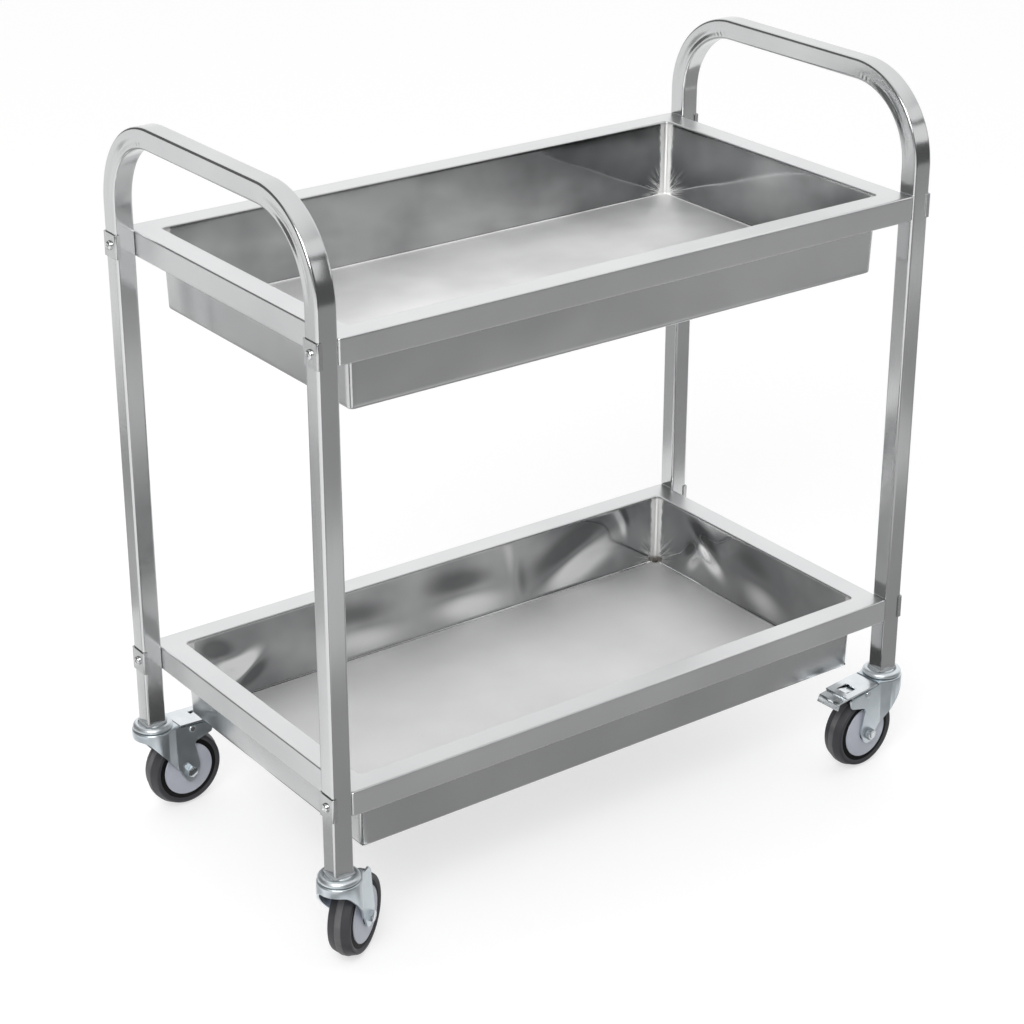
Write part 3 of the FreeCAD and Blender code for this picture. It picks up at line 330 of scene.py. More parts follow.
def bowl_tray(name, level, material, waves, dents, rubbed):
    """The tray's show side: the section carried round a rounded rectangle, closed by shrinking the
    last ring towards the middle of the floor. Walls and floor bulge by the ripple and by dents,
    each a bell (height, place round the bowl, depth, breadth, drop, slant) fading out at the folds.
    The floor was rubbed dull, up to so many rows of points into its fold.
    A further attribute keeps how far the dents' slopes face up and a little to one side, towards the light
    above, for the painted highlight and painted shade on them."""
    section, depth = tray_section()
    inset = section[:, 0]
    radius = np.where(inset < RIM / 2, RIM_CORNER, BOWL_CORNER)
    rings = ring_of(TRAY_X - inset, TRAY_Y - inset, radius, ARC, LONG_STEPS, SHORT_STEPS)
    heights = np.broadcast_to(section[:, 1:2], rings.shape[:2])
    shrink = np.cos(np.linspace(0, math.pi / 2, FLOOR_STEPS)[1:-1]) ** CROWDED
    floor = rings[-1][None] * shrink[:, None, None]
    plan = np.concatenate([rings, floor])
    mouth = rings[np.argmax(depth > 0)]
    around = np.append(0, np.cumsum(np.linalg.norm(np.diff(mouth, axis=0), axis=1)))
    total = around[-1] + np.linalg.norm(mouth[0] - mouth[-1])
    corner_at = np.cumsum([0, ARC + SHORT_STEPS, ARC + LONG_STEPS, ARC + SHORT_STEPS]) + ARC / 2
    places = np.interp(corner_at, np.arange(len(around)), around)
    gap = np.abs(around[:, None] - places[None])
    corner_gap = np.minimum(gap, total - gap).min(axis=1)
    dented = np.zeros((len(depth), len(around)))
    for height, place, deep, broad, tall, slant in dents:
        down = (depth[:, None] - deep) * DEPTH
        bell = ((around[None] - place * total + slant * down) / broad) ** 2 + (down / tall) ** 2
        dented += height * np.exp(-bell)
    bulge = ripple(around[None], depth[:, None] * DEPTH, waves) + dented
    bulge *= np.sin(math.pi * depth)[:, None] ** STIFF_FOLD
    bulge *= np.clip(corner_gap / STIFF_CORNER, 0, 1)[None] ** 2
    walls = (depth > 0) & (depth < 1)
    lit_slope = np.zeros_like(dented)
    lit_slope[walls] = (LIT_SLANT * np.gradient(dented[walls], around, axis=1)
                     - np.gradient(dented[walls], depth[walls] * DEPTH, axis=0))
    outward = np.roll(mouth, -1, axis=0) - np.roll(mouth, 1, axis=0)
    outward = np.stack([outward[:, 1], -outward[:, 0]], axis=-1)
    outward /= np.linalg.norm(outward, axis=1)[:, None]
    plan[:len(section)] += bulge[..., None] * outward[None]
    lift = ripple(floor[..., 0], floor[..., 1], FLOOR_WAVES)
    lift *= np.clip((1 - shrink) / STIFF_EDGE, 0, 1)[:, None] ** 2
    heights = np.concatenate([heights, section[-1, 1] + lift])
    points = np.concatenate([plan, heights[..., None]], axis=-1) + (0, 0, level)
    rows, columns = points.shape[:2]
    middle = np.array([[0, 0, points[-1, 0, 2]]])
    last = (rows - 1) * columns + np.arange(columns)
    fan = np.stack([last, np.roll(last, -1), np.full(columns, rows * columns)], axis=-1)
    faces = [*quads(rows, columns, (False, True)), *fan]
    made = piece(name, np.concatenate([points.reshape(-1, 3), middle]), faces, material, "stainless_sheet",
                 outward=False)
    travelled = np.append(0, np.cumsum(np.linalg.norm(np.diff(section, axis=0), axis=1)))
    run_in = np.concatenate([travelled, travelled[-1] + (1 - shrink) * TRAY_Y])
    floored = np.concatenate([np.zeros(len(section) - rubbed), np.ones(rubbed + len(shrink))])
    laid = np.stack(np.broadcast_arrays(around[None], run_in[:, None], floored[:, None]), axis=-1)
    keep(made, "laid", np.concatenate([laid.reshape(-1, 3), [[0, run_in[-1], 1]]]))
    # the dents' slope towards the light above, for the painted highlight and painted shade on the walls
    wheel = np.zeros((rows * columns + 1, 3))
    wheel[:lit_slope.size, 0] = lit_slope.ravel()
    keep(made, "lit_slope", wheel)
    thick = made.modifiers.new("sheet", "SOLIDIFY")
    thick.thickness, thick.offset = SHEET, -1.0
    made.data.materials.append(back_steel)
    thick.material_offset = thick.material_offset_rim = 1
    return made


def bright_sheet(name, floor_level, shaded_wall_dark, shaded_wall_light, floor_dark, floor_light, floor_rough):
    """Cold-rolled stainless sheet: pale and satin on rim and skirt, nearly a mirror on the bowl's walls,
    whose colour painted shade darkens, with faint rolling lines and a slow cloud, painted highlights and
    shade on the dents' slopes, and dull with paler clouds on the floor, which was rubbed along its length.
    The ground weld bands are lighter and matt, and strokes of the grinder fan out from each corner's foot."""
    material, tree, shader = new_material(name, Metallic=1.0)
    laid = add(tree, "Attribute", attribute_name="laid")
    place = add(tree, "TexCoord")
    split = add(tree, "SeparateXYZ", [(0, laid, "Vector")])
    # distances from the bowl's nearest corner foot: from the end wall, the side wall and the floor
    folded = add(tree, "VectorMath", [(0, place, "Object")], operation="ABSOLUTE")
    from_corner = add(tree, "VectorMath", [(0, folded, "Vector")], operation="SUBTRACT")
    from_corner.inputs[1].default_value = (TRAY_X - RIM - LEAN / 2, TRAY_Y - RIM - LEAN / 2, floor_level)
    parts = add(tree, "SeparateXYZ", [(0, from_corner, "Vector")])
    along_wall = add(tree, "Math", [(0, parts, "X"), (1, parts, "Y")], operation="MINIMUM")
    # rolling lines are 0.05 mm apart on real sheet, and 1 mm here so that they show
    rolled = add(tree, "VectorMath", [(0, laid, "Vector")], operation="MULTIPLY")
    rolled.inputs[1].default_value = (4, 1000, 0)
    lines = add(tree, "TexNoise", [("Vector", rolled, "Vector")], Scale=1.0, Detail=2.0)
    # strokes of rubbing along the floor, 80 mm long and 0.9 mm apart, wider than real so that they show
    rubbed = add(tree, "VectorMath", [(0, place, "Object")], operation="MULTIPLY")
    rubbed.inputs[1].default_value = (12, 1100, 0)
    strokes = add(tree, "TexNoise", [("Vector", rubbed, "Vector")], Scale=1.0, Detail=3.0)
    cloud = add(tree, "TexNoise", [("Vector", place, "Object")], Scale=1000 / 140, Detail=3.0,
                Roughness=0.45)
    # weld band: 10 mm to each side of the corner, with a ragged edge
    edge = add(tree, "TexNoise", [("Vector", place, "Object")], Scale=1000 / 12, Detail=3.0)
    ragged = add(tree, "Math", [(0, edge, "Fac"), (2, along_wall, "Value")], operation="MULTIPLY_ADD")
    ragged.inputs[1].default_value = 0.006
    band = add(tree, "MapRange", [("Value", ragged, "Value")], From_Min=-0.0085, From_Max=-0.0055)
    # grinder strokes: noise over the direction from the corner's foot, fading out within 40 mm
    way = add(tree, "VectorMath", [(0, from_corner, "Vector")], operation="NORMALIZE")
    fan = add(tree, "TexNoise", [("Vector", way, "Vector")], Scale=16.0, Detail=2.0)
    far = add(tree, "VectorMath", [(0, from_corner, "Vector")], operation="LENGTH")
    near = add(tree, "MapRange", [("Value", far, "Value")], From_Min=0.042, From_Max=0.014)
    core = add(tree, "MapRange", [("Value", far, "Value")], From_Min=0.018, From_Max=0.012)
    struck = add(tree, "MapRange", [("Value", fan, "Fac")], From_Min=0.50, From_Max=0.58)
    strokes_out = add(tree, "Math", [(0, near, "Result"), (1, struck, "Result")], operation="MULTIPLY")
    burst = add(tree, "Math", [(0, core, "Result"), (1, strokes_out, "Value")], operation="MAXIMUM")
    # both stay inside the bowl, under its fold
    outer = add(tree, "Math", [(0, parts, "X"), (1, parts, "Y")], operation="MAXIMUM")
    inside = add(tree, "MapRange", [("Value", outer, "Value")], From_Min=0.006, From_Max=0.003)
    above = add(tree, "MapRange", [("Value", parts, "Z")], From_Min=DEPTH - 0.001, From_Max=DEPTH - 0.004)
    worked = add(tree, "Math", [(0, band, "Result"), (1, burst, "Value")], operation="MAXIMUM")
    in_bowl = add(tree, "Math", [(0, inside, "Result"), (1, above, "Result")], operation="MULTIPLY")
    ground = add(tree, "Math", [(0, worked, "Value"), (1, in_bowl, "Value")], operation="MULTIPLY")
    rim = add(tree, "Mix", [("Factor", cloud, "Fac")], data_type="RGBA",
              A=linear("#d2d3d4"), B=linear("#e8e9e9"))
    clouded = add(tree, "MapRange", [("Value", cloud, "Fac")], From_Min=0.36, From_Max=0.64)
    # painted shade: the bowl's walls take darker colours than the rim and skirt of the same sheet
    wall = add(tree, "Mix", [("Factor", clouded, "Result")], data_type="RGBA",
               A=linear(shaded_wall_dark), B=linear(shaded_wall_light))
    # painted highlight and shade on the dents: slopes facing up towards the light above are painted paler,
    # and slopes facing down darker
    lit_slope = add(tree, "Attribute", attribute_name="lit_slope")
    wheel = add(tree, "SeparateXYZ", [(0, lit_slope, "Vector")])
    shade = add(tree, "MapRange", [("Value", wheel, "X")], interpolation_type="SMOOTHSTEP",
                From_Min=-0.010, From_Max=-0.080, To_Max=0.7)
    dent_shaded = add(tree, "Mix", [("Factor", shade, "Result"), ("A", wall, "Result")], data_type="RGBA",
                 B=linear("#565758"))
    highlight_share = add(tree, "MapRange", [("Value", wheel, "X")], interpolation_type="SMOOTHSTEP",
               From_Min=0.004, From_Max=0.085)
    dent_highlighted = add(tree, "Mix", [("Factor", highlight_share, "Result"), ("A", dent_shaded, "Result")], data_type="RGBA",
                B=linear("#fafafa"))
    sheet = add(tree, "Mix", [("Factor", in_bowl, "Value"), ("A", rim, "Result"), ("B", dent_highlighted, "Result")],
                data_type="RGBA")
    floor = add(tree, "Mix", [("Factor", clouded, "Result")], data_type="RGBA",
                A=linear(floor_dark), B=linear(floor_light))
    floored = add(tree, "Mix", [("Factor", split, "Z"), ("A", sheet, "Result"), ("B", floor, "Result")],
                  data_type="RGBA")
    dressed = add(tree, "Mix", [("Factor", ground, "Value"), ("A", floored, "Result")], data_type="RGBA",
                  B=linear("#f4f4f3"))
    rim_rough = add(tree, "MapRange", [("Value", cloud, "Fac")], To_Min=0.29, To_Max=0.39)
    bowl_rough = add(tree, "MapRange", [("Value", cloud, "Fac")], To_Min=0.02, To_Max=0.12)
    dull = add(tree, "Math", [(0, highlight_share, "Result"), (2, bowl_rough, "Result")], operation="MULTIPLY_ADD")
    dull.inputs[1].default_value = 0.08
    wall_rough = add(tree, "Mix", [("Factor", in_bowl, "Value"), ("A", rim_rough, "Result"),
                                   ("B", dull, "Value")])
    floor_dull = add(tree, "MapRange", [("Value", strokes, "Fac")], To_Min=floor_rough - 0.06,
                     To_Max=floor_rough + 0.06)
    rough = add(tree, "Mix", [("Factor", split, "Z"), ("A", wall_rough, "Result"),
                              ("B", floor_dull, "Result")])
    rougher = add(tree, "Math", [(0, ground, "Value"), (2, rough, "Result")], operation="MULTIPLY_ADD")
    rougher.inputs[1].default_value = 0.28
    relief = add(tree, "Bump", [("Height", lines, "Fac")], Strength=0.03, Distance=0.0002)
    scored = add(tree, "Math", [(0, ground, "Value"), (1, fan, "Fac")], operation="MULTIPLY")
    scratch = add(tree, "Bump", [("Height", scored, "Value"), ("Normal", relief, "Normal")], Strength=0.3,
                  Distance=0.0003)
    join(tree, shader, [("Base Color", dressed, "Result"), ("Roughness", rougher, "Value"),
                        ("Normal", scratch, "Normal")])
    return material


def sheet_back():
    """The back of the same sheet, as it left the rolls: a blurred mirror with faint rolling lines."""
    material, tree, shader = new_material("cold_rolled_stainless_back", Metallic=1.0)
    laid = add(tree, "Attribute", attribute_name="laid")
    place = add(tree, "TexCoord")
    rolled = add(tree, "VectorMath", [(0, laid, "Vector")], operation="MULTIPLY")
    rolled.inputs[1].default_value = (4, 1000, 0)
    lines = add(tree, "TexNoise", [("Vector", rolled, "Vector")], Scale=1.0, Detail=2.0)
    cloud = add(tree, "TexNoise", [("Vector", place, "Object")], Scale=1000 / 110, Detail=3.0,
                Roughness=0.45)
    return finished(material, shader, (cloud, "#bcbdbe", "#d2d3d3"), (cloud, 0.16, 0.28),
                    (lines, 0.04, 0.0002))


UPPER, LOWER = 0.758, 0.229
back_steel = sheet_back()
# the walls' two colours in each call are painted shade, darker than the same sheet on rim and skirt
upper_steel = bright_sheet("cold_rolled_stainless_half_bright_floor", UPPER - DEPTH, "#7e7f80", "#aaabab",
                           "#ececec", "#fefefe", 0.60)
lower_steel = bright_sheet("cold_rolled_stainless_dull_floor", LOWER - DEPTH, "#8e8f90", "#bcbdbd",
                           "#eeeeee", "#f5f5f5", 0.64)
upper_waves = [(0.00022, 0.31, 0.21, 0.12), (0.00015, 0.19, 0.33, 0.47), (0.0001, 0.11, 0.18, 0.8)]
lower_waves = [(0.00030, 0.27, 0.23, 0.33), (0.00020, 0.17, 0.31, 0.05), (0.00012, 0.12, 0.2, 0.6)]
lower_dents = [
    (0.0034, 0.480, 0.42, 0.022, 0.024, 0.5), (-0.0022, 0.466, 0.66, 0.020, 0.018, -0.6),
    (0.0024, 0.392, 0.58, 0.060, 0.030, 0.7), (0.0030, 0.318, 0.58, 0.055, 0.030, 0.6),
    (-0.0016, 0.281, 0.46, 0.011, 0.045, 0.2), (0.0034, 0.236, 0.52, 0.050, 0.036, -0.9),
    (0.0032, 0.128, 0.40, 0.020, 0.024, 0.9), (0.0016, 0.140, 0.62, 0.012, 0.018, -0.3),
    (0.0024, 0.080, 0.52, 0.040, 0.034, 0.6),
]
upper_bowl = bowl_tray("upper_bowl_tray", UPPER, upper_steel, upper_waves, [], 3)
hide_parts("upper_tray")
lower_bowl = bowl_tray("lower_bowl_tray", LOWER, lower_steel, lower_waves, lower_dents, 1)
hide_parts("lower_tray")


def heat_tinted_bead():
    """Weld metal left as it ran: dark and oxidised, straw to grey in 3 mm patches, with a lumpy skin."""
    material, tree, shader = new_material("heat_tinted_weld_bead", Metallic=1.0)
    place = add(tree, "TexCoord")
    patch = add(tree, "TexNoise", [("Vector", place, "Object")], Scale=1000 / 3, Detail=3.0)
    return finished(material, shader, (patch, "#4c4946", "#9a958e"), (patch, 0.30, 0.55))


BEAD, BEAD_IN, BEAD_UP, BEAD_FLAT = 0.0042, 0.0042, 0.0022, 0.7


def weld_beads():
    """Lumps at the four corner feet of the lower bowl: a ball whose radius swells and sinks by sines
    of its turn and tilt."""
    turn, tilt = np.meshgrid(np.linspace(0, 2 * math.pi, 28, endpoint=False), np.linspace(0, math.pi, 15))
    ball = np.stack([np.sin(tilt) * np.cos(turn), np.sin(tilt) * np.sin(turn), BEAD_FLAT * np.cos(tilt)],
                    axis=-1)
    in_x, in_y = TRAY_X - RIM - LEAN - BEAD_IN, TRAY_Y - RIM - LEAN - BEAD_IN
    rows, columns = turn.shape
    shells, faces = [], []
    for k, (sx, sy) in enumerate(((-1, -1), (1, -1), (1, 1), (-1, 1))):
        lumps = 0.22 * np.sin(3 * turn + k) * np.sin(2 * tilt + k) + 0.16 * np.cos(5 * turn - 2 * k)
        swell = BEAD * (1 + np.sin(tilt) * lumps)
        shells.append(swell[..., None] * ball + (sx * in_x, sy * in_y, LOWER - DEPTH + BEAD_UP))
        faces.append(quads(rows, columns, (False, True), k * rows * columns))
    return np.stack(shells), np.concatenate(faces)


piece("lower_corner_weld_beads", *weld_beads(), heat_tinted_bead(), "stainless_sheet")


# Brackets, weld nuts and saddle plates: small stainless pressings that tie the trays to the legs. The
# brackets are welded behind the skirts' corners, and each saddle is clamped round its leg by a screw.
def pressed_steel(name, light, dark, low, high, grain_mm):
    """Pressed and tumbled steel: colour and gloss shift in a mottle of the given grain, and the
    surface is very slightly uneven at the same grain."""
    material, tree, shader = new_material(name, Metallic=1.0)
    place = add(tree, "TexCoord")
    mottle = add(tree, "TexNoise", [("Vector", place, "Object")], Scale=1000 / grain_mm, Detail=4.0)
    return finished(material, shader, (mottle, dark, light), (mottle, low, high), (mottle, 0.06, 0.0003))


tumbled_steel = pressed_steel("tumbled_stainless_pressing", "#d2d3d3", "#b4b5b6", 0.15, 0.27, 2.5)
dress("leg_saddle_plates", tumbled_steel, 0.0003)
for tier in ("upper", "lower"):
    dress(f"{tier}_tray_corner_brackets", tumbled_steel, 0.0003)
dress("tray_weld_nuts", tumbled_steel, 0.0003)


# Tray screws: stainless M6 pan heads with a pressed cross recess, driven from outside through saddle,
# leg, skirt and bracket into the weld nuts, where the last turns of their thread stand out.
HEAD_RADIUS, HEAD_HEIGHT, HEAD_ROUND = 0.0056, 0.0034, 0.00272
SCREW_RADIUS, SCREW_REACH, PITCH = 0.003, 0.0368, 0.001
RECESS_DEEP, RECESS_HALF, RECESS_REACH = 0.0015, 0.00055, 0.0026
ARM_RAMP, END_RAMP = 0.0002, 0.0004
THREADED, POINT, POINT_SHARE = 0.012, 0.0006, 0.75
SEAT_X, SEAT_DROP = 0.4265, 0.015


def set_out(points, seat, out, side):
    """Points (a, b, c) set down at seat: a runs along out, b along side, c square to both."""
    out, side = np.asarray(out, float), np.asarray(side, float)
    return np.asarray(seat) + np.asarray(points) @ np.stack([out, side, np.cross(out, side)])


def carried_round(along, radius, turn):
    """A profile carried round its axis: (distance along the axis, radius times the turn's cosine,
    radius times its sine), where both may change with the turn."""
    return np.stack(np.broadcast_arrays(along, radius * np.cos(turn), radius * np.sin(turn)), axis=-1)


def thread(start, end, radius, pitch, turn):
    """A screw thread: rows every sixth of a pitch from start to end, whose radius falls by 0.6 of the
    pitch in a triangle wave of distance over pitch less the turn, and fades in over two pitches."""
    along = np.linspace(start, end, int(abs(end - start) / pitch * 6))[:, None]
    wave = np.abs(((along / pitch - turn[None] / (2 * math.pi)) % 1.0) - 0.5) * 2
    fade = np.clip(np.abs(along - start) / (2 * pitch), 0, 1)
    return np.broadcast_to(along, wave.shape), radius - 0.6 * pitch * wave * fade


def cross_screw():
    """A pan-head screw from the middle of its head to its tip, out from its seat. The head's flat top
    sinks by a cross: each arm is a ramp across its width times a ramp at its end, the deeper counts."""
    turn = np.linspace(0, 2 * math.pi, 64, endpoint=False)
    flat = np.linspace(0, HEAD_RADIUS - HEAD_ROUND, 20)[:, None]
    a, b = np.abs(flat * np.cos(turn)), np.abs(flat * np.sin(turn))
    arms = [np.clip((RECESS_HALF - v) / ARM_RAMP + 0.5, 0, 1) * np.clip((RECESS_REACH - u) / END_RAMP, 0, 1)
            for u, v in ((a, b), (b, a))]
    top = HEAD_HEIGHT - RECESS_DEEP * np.maximum(*arms)
    bend = np.linspace(math.pi / 2, 0, 9)[1:, None]
    dome = HEAD_HEIGHT - HEAD_ROUND + HEAD_ROUND * np.sin(bend)
    dome_radius = HEAD_RADIUS - HEAD_ROUND + HEAD_ROUND * np.cos(bend)
    under = np.array([[0.0], [0.0], [THREADED - SCREW_REACH]])
    under_radius = np.array([[HEAD_RADIUS], [SCREW_RADIUS], [SCREW_RADIUS]])
    turns, turns_radius = thread(THREADED - SCREW_REACH, POINT - SCREW_REACH, SCREW_RADIUS, PITCH, turn)
    tip = np.array([[-SCREW_REACH], [-SCREW_REACH]])
    tip_radius = np.array([[SCREW_RADIUS * POINT_SHARE], [0.0]])
    runs = (top, dome, under, turns, tip), (flat, dome_radius, under_radius, turns_radius, tip_radius)
    along, radius = (np.concatenate([np.broadcast_to(v, (len(v), len(turn))) for v in run]) for run in runs)
    return carried_round(along, radius, turn)


bright_steel = pressed_steel("cold_headed_stainless", "#e2e3e3", "#c4c5c6", 0.14, 0.26, 1.5)
shell = cross_screw()
points, faces = [], []
corners = [(sx, sy, rim) for sx in (-1, 1) for sy in (-1, 1) for rim in (UPPER, LOWER)]
for k, (sx, sy, rim) in enumerate(corners):
    # each screw stopped at its own angle
    stopped = math.radians(20 + 31 * k)
    seat, side = (sx * SEAT_X, sy * LEG_Y, rim - SEAT_DROP), (0, math.cos(stopped), math.sin(stopped))
    points.append(set_out(shell, seat, (sx, 0, 0), side))
    faces.append(quads(*shell.shape[:2], (False, True), k * shell.shape[0] * shell.shape[1]))
screws = piece("cross_recess_screws", np.stack(points), np.concatenate(faces), bright_steel,
               "stainless_fastener")
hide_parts("tray_screws")


# Swivel heads: zinc-plated steel. The domed cap stays with the leg, the ring of balls runs in the races
# under it, and the stem is riveted over below the fork's crown.
def zinc_plate(name, light, dark, low, high):
    """Bright zinc, blue-passivated: pale steel with a cold tint that drifts over some 20 mm, and a fine
    crystalline sparkle of 0.6 mm grains."""
    material, tree, shader = new_material(name, Metallic=1.0)
    place = add(tree, "TexCoord")
    drift = add(tree, "TexNoise", [("Vector", place, "Object")], Scale=1000 / 20, Detail=2.0)
    grains = add(tree, "TexVoronoi", [("Vector", place, "Object")], Scale=1000 / 0.6)
    tint = add(tree, "Mix", [("Factor", drift, "Fac")], data_type="RGBA", A=linear(dark), B=linear(light))
    sparkle = add(tree, "MapRange", [("Value", grains, "Distance")], To_Min=0.92, To_Max=1.06)
    lifted = add(tree, "VectorMath", [(0, tint, "Result"), ("Scale", sparkle, "Result")], operation="SCALE")
    rough = add(tree, "MapRange", [("Value", drift, "Fac")], To_Min=low, To_Max=high)
    relief = add(tree, "Bump", [("Height", grains, "Distance")], Strength=0.05, Distance=0.0002)
    join(tree, shader, [("Base Color", lifted, "Vector"), ("Roughness", rough, "Result"),
                        ("Normal", relief, "Normal")])
    return material


def eased(points, steps, closed=False):
    """A smooth curve through points: on each stretch the cubic whose slope at either end is half the
    step between that end's neighbours."""
    p = np.asarray(points, float)
    ends = np.concatenate([p[-1:], p, p[:2]]) if closed else np.concatenate([p[:1], p, p[-1:]])
    a, b, c, d = ends[:-3, None], ends[1:-2, None], ends[2:-1, None], ends[3:, None]
    t = np.linspace(0, 1, steps, endpoint=False)[None, :, None]
    curve = b + (c - a) / 2 * t + (a - 2.5 * b + 2 * c - d / 2) * t ** 2
    curve += (1.5 * (b - c) + (d - a) / 2) * t ** 3
    curve = curve.reshape(-1, p.shape[1])
    return curve if closed else np.concatenate([curve, p[-1:]])


CASTERS = {
    "front_left": (-1, -1, 34, False),
    "rear_left": (-1, 1, 3, True),
    "front_right": (1, -1, 183, True),
    "rear_right": (1, 1, 214, False),
}
TRAIL, AXLE_HEIGHT, FORK_OUT = 0.039, 0.050, 0.0195
CAP_TOP, CAP_FOOT, CAP_BORE = 0.126, 0.119, 0.00605
BALL_CIRCLE, RACE, BALL_LEVEL = 0.0165, 0.0028, 0.1186
zinc = zinc_plate("blue_passivated_zinc", "#dee5e9", "#c2ccd2", 0.29, 0.40)
cap_zinc = zinc_plate("satin_zinc_cap", "#e8edf0", "#d0d8dc", 0.32, 0.46)
ROUND = np.linspace(0, 2 * math.pi, 96, endpoint=False)
cap_top = eased([
    (CAP_TOP, CAP_BORE), (CAP_TOP, 0.0140), (CAP_TOP - 0.0002, 0.0150), (CAP_TOP - 0.0011, 0.0161),
    (CAP_TOP - 0.0010, 0.0172), (CAP_TOP - 0.0003, 0.0186), (CAP_TOP - 0.0007, 0.0210),
    (CAP_TOP - 0.0022, 0.0232), (CAP_TOP - 0.0042, 0.0244), (CAP_TOP - 0.0058, 0.0245), (CAP_FOOT, 0.0236),
], 5)
opening = math.acos((CAP_FOOT - BALL_LEVEL) / RACE)
sweep = np.linspace(opening, -opening, 12)
cap_race = np.stack([BALL_LEVEL + RACE * np.cos(sweep), BALL_CIRCLE + RACE * np.sin(sweep)], axis=-1)
cap_profile = np.concatenate([cap_top, cap_race, [(CAP_FOOT, CAP_BORE)]])
ball_steel = pressed_steel("ground_bearing_steel", "#c9cacb", "#bcbdbe", 0.05, 0.10, 3.0)
shell = carried_round(cap_profile[:, :1], cap_profile[:, 1:], ROUND)
for place, (sx, sy, turned, braked) in CASTERS.items():
    points = set_out(shell, (sx * LEG_X, sy * LEG_Y, 0), (0, 0, 1), (1, 0, 0))
    cap = piece(f"{place}_domed_cap", points, quads(*shell.shape[:2], (True, True)), cap_zinc,
                "zinc_plated_steel")
    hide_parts(f"{place}_swivel_cap")
    dress(f"{place}_stem", zinc)
    dress(f"{place}_swivel_balls", ball_steel)


# Forks: pressed from one blank of 2.5 mm steel and zinc-plated. The round crown runs down into two
# cheeks that hold the axle; the braked pair have cheeks drawn out over the tyre.
for place in CASTERS:
    dress(f"{place}_fork", zinc, 0.0004)


# Axles: a zinc-plated M8 hexagon bolt through both cheeks and the spacer sleeve, with a nut outside.
# Head and nut have the turned thirty-degree chamfer that leaves an arc at the end of every flat.
FLATS, BOLT_HEAD, NUT_HEIGHT, AXLE_RADIUS, BOLT_PITCH = 0.013, 0.0053, 0.0065, 0.004, 0.00125
BOLT_PROUD, BOLT_THREADED, BOLT_POINT, BOLT_POINT_SHARE = 0.0015, 0.014, 0.0008, 0.8
BOLT_REACH = 2 * FORK_OUT + NUT_HEIGHT + BOLT_PROUD
CROWN, CHAMFER = 0.95 * FLATS / 2, math.tan(math.radians(30))
BORE_PLAY = 0.0001


def axle_of(place):
    """Middle of a caster's axle, the way its wheel trails, and the way across the wheel."""
    sx, sy, turned, braked = CASTERS[place]
    trail = np.array([math.cos(math.radians(turned)), math.sin(math.radians(turned)), 0.0])
    middle = np.array([sx * LEG_X, sy * LEG_Y, AXLE_HEIGHT]) + TRAIL * trail
    return middle, trail, np.array([-trail[1], trail[0], 0.0])


def hexagon(turn, corner):
    """Distance from the axis to a hexagon's side: half the flats over the cosine of the angle to the
    middle of the flat, with a corner at the given turn."""
    return FLATS / 2 / np.cos((turn - corner) % (math.pi / 3) - math.pi / 6)


def hex_bolt(turn):
    """The bolt from the middle of its head to its tip, out from the cheek."""
    side = hexagon(turn, math.pi / 6)
    level = np.ones_like(turn)
    stem, start = AXLE_RADIUS * level, BOLT_THREADED - BOLT_REACH
    turns, turns_radius = thread(start, BOLT_POINT - BOLT_REACH, AXLE_RADIUS, BOLT_PITCH, turn)
    top = BOLT_HEAD * level
    along = [top, top, top - (side - CROWN) * CHAMFER, 0 * level, 0 * level, start * level]
    radius = [0 * level, CROWN * level, side, side, stem, stem]
    tip, tip_radius = [-BOLT_REACH * level] * 2, [BOLT_POINT_SHARE * stem, 0 * level]
    along, radius = np.concatenate([along, turns, tip]), np.concatenate([radius, turns_radius, tip_radius])
    return carried_round(along, radius, turn)


def hex_nut(turn):
    """The nut round its bore, out from the cheek, chamfered at both ends."""
    side = hexagon(turn, 0.0)
    cut = (side - CROWN) * CHAMFER
    level = np.ones_like(turn)
    bore, crown = (AXLE_RADIUS + BORE_PLAY) * level, CROWN * level
    along = [0 * level, 0 * level, cut, NUT_HEIGHT - cut, NUT_HEIGHT * level, NUT_HEIGHT * level]
    return carried_round(np.stack(along), np.stack([bore, crown, side, side, crown, bore]), turn)


zinc_bolt = zinc_plate("bright_zinc_fastener", "#e4e8ea", "#c3cacf", 0.14, 0.26)
turn = np.linspace(0, 2 * math.pi, 72, endpoint=False)
bolt_shell, nut_shell = hex_bolt(turn), hex_nut(turn)
bolt_faces = quads(*bolt_shell.shape[:2], (False, True))
nut_faces = quads(*nut_shell.shape[:2], (True, True))
for place in CASTERS:
    axle, trail, across = axle_of(place)
    bolt = piece(f"{place}_hex_bolt", set_out(bolt_shell, axle - FORK_OUT * across, -across, trail),
                 bolt_faces, zinc_bolt, "zinc_plated_steel", f"{place}_swivel")
    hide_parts(f"{place}_axle_bolt")
    nut = piece(f"{place}_hex_nut", set_out(nut_shell, axle + FORK_OUT * across, across, trail), nut_faces,
                zinc_bolt, "zinc_plated_steel", f"{place}_swivel")
    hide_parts(f"{place}_axle_nut")
    dress(f"{place}_axle_sleeve", zinc)


# Wheels: a black polypropylene centre moulded inside a grey rubber tyre, with a pale grey disc snapped
# into each side. The tread is a flat band between two bevels, with the mould's parting line round it.
CROWN_LOW, CROWN_HIGH = 0.0492, 0.0499


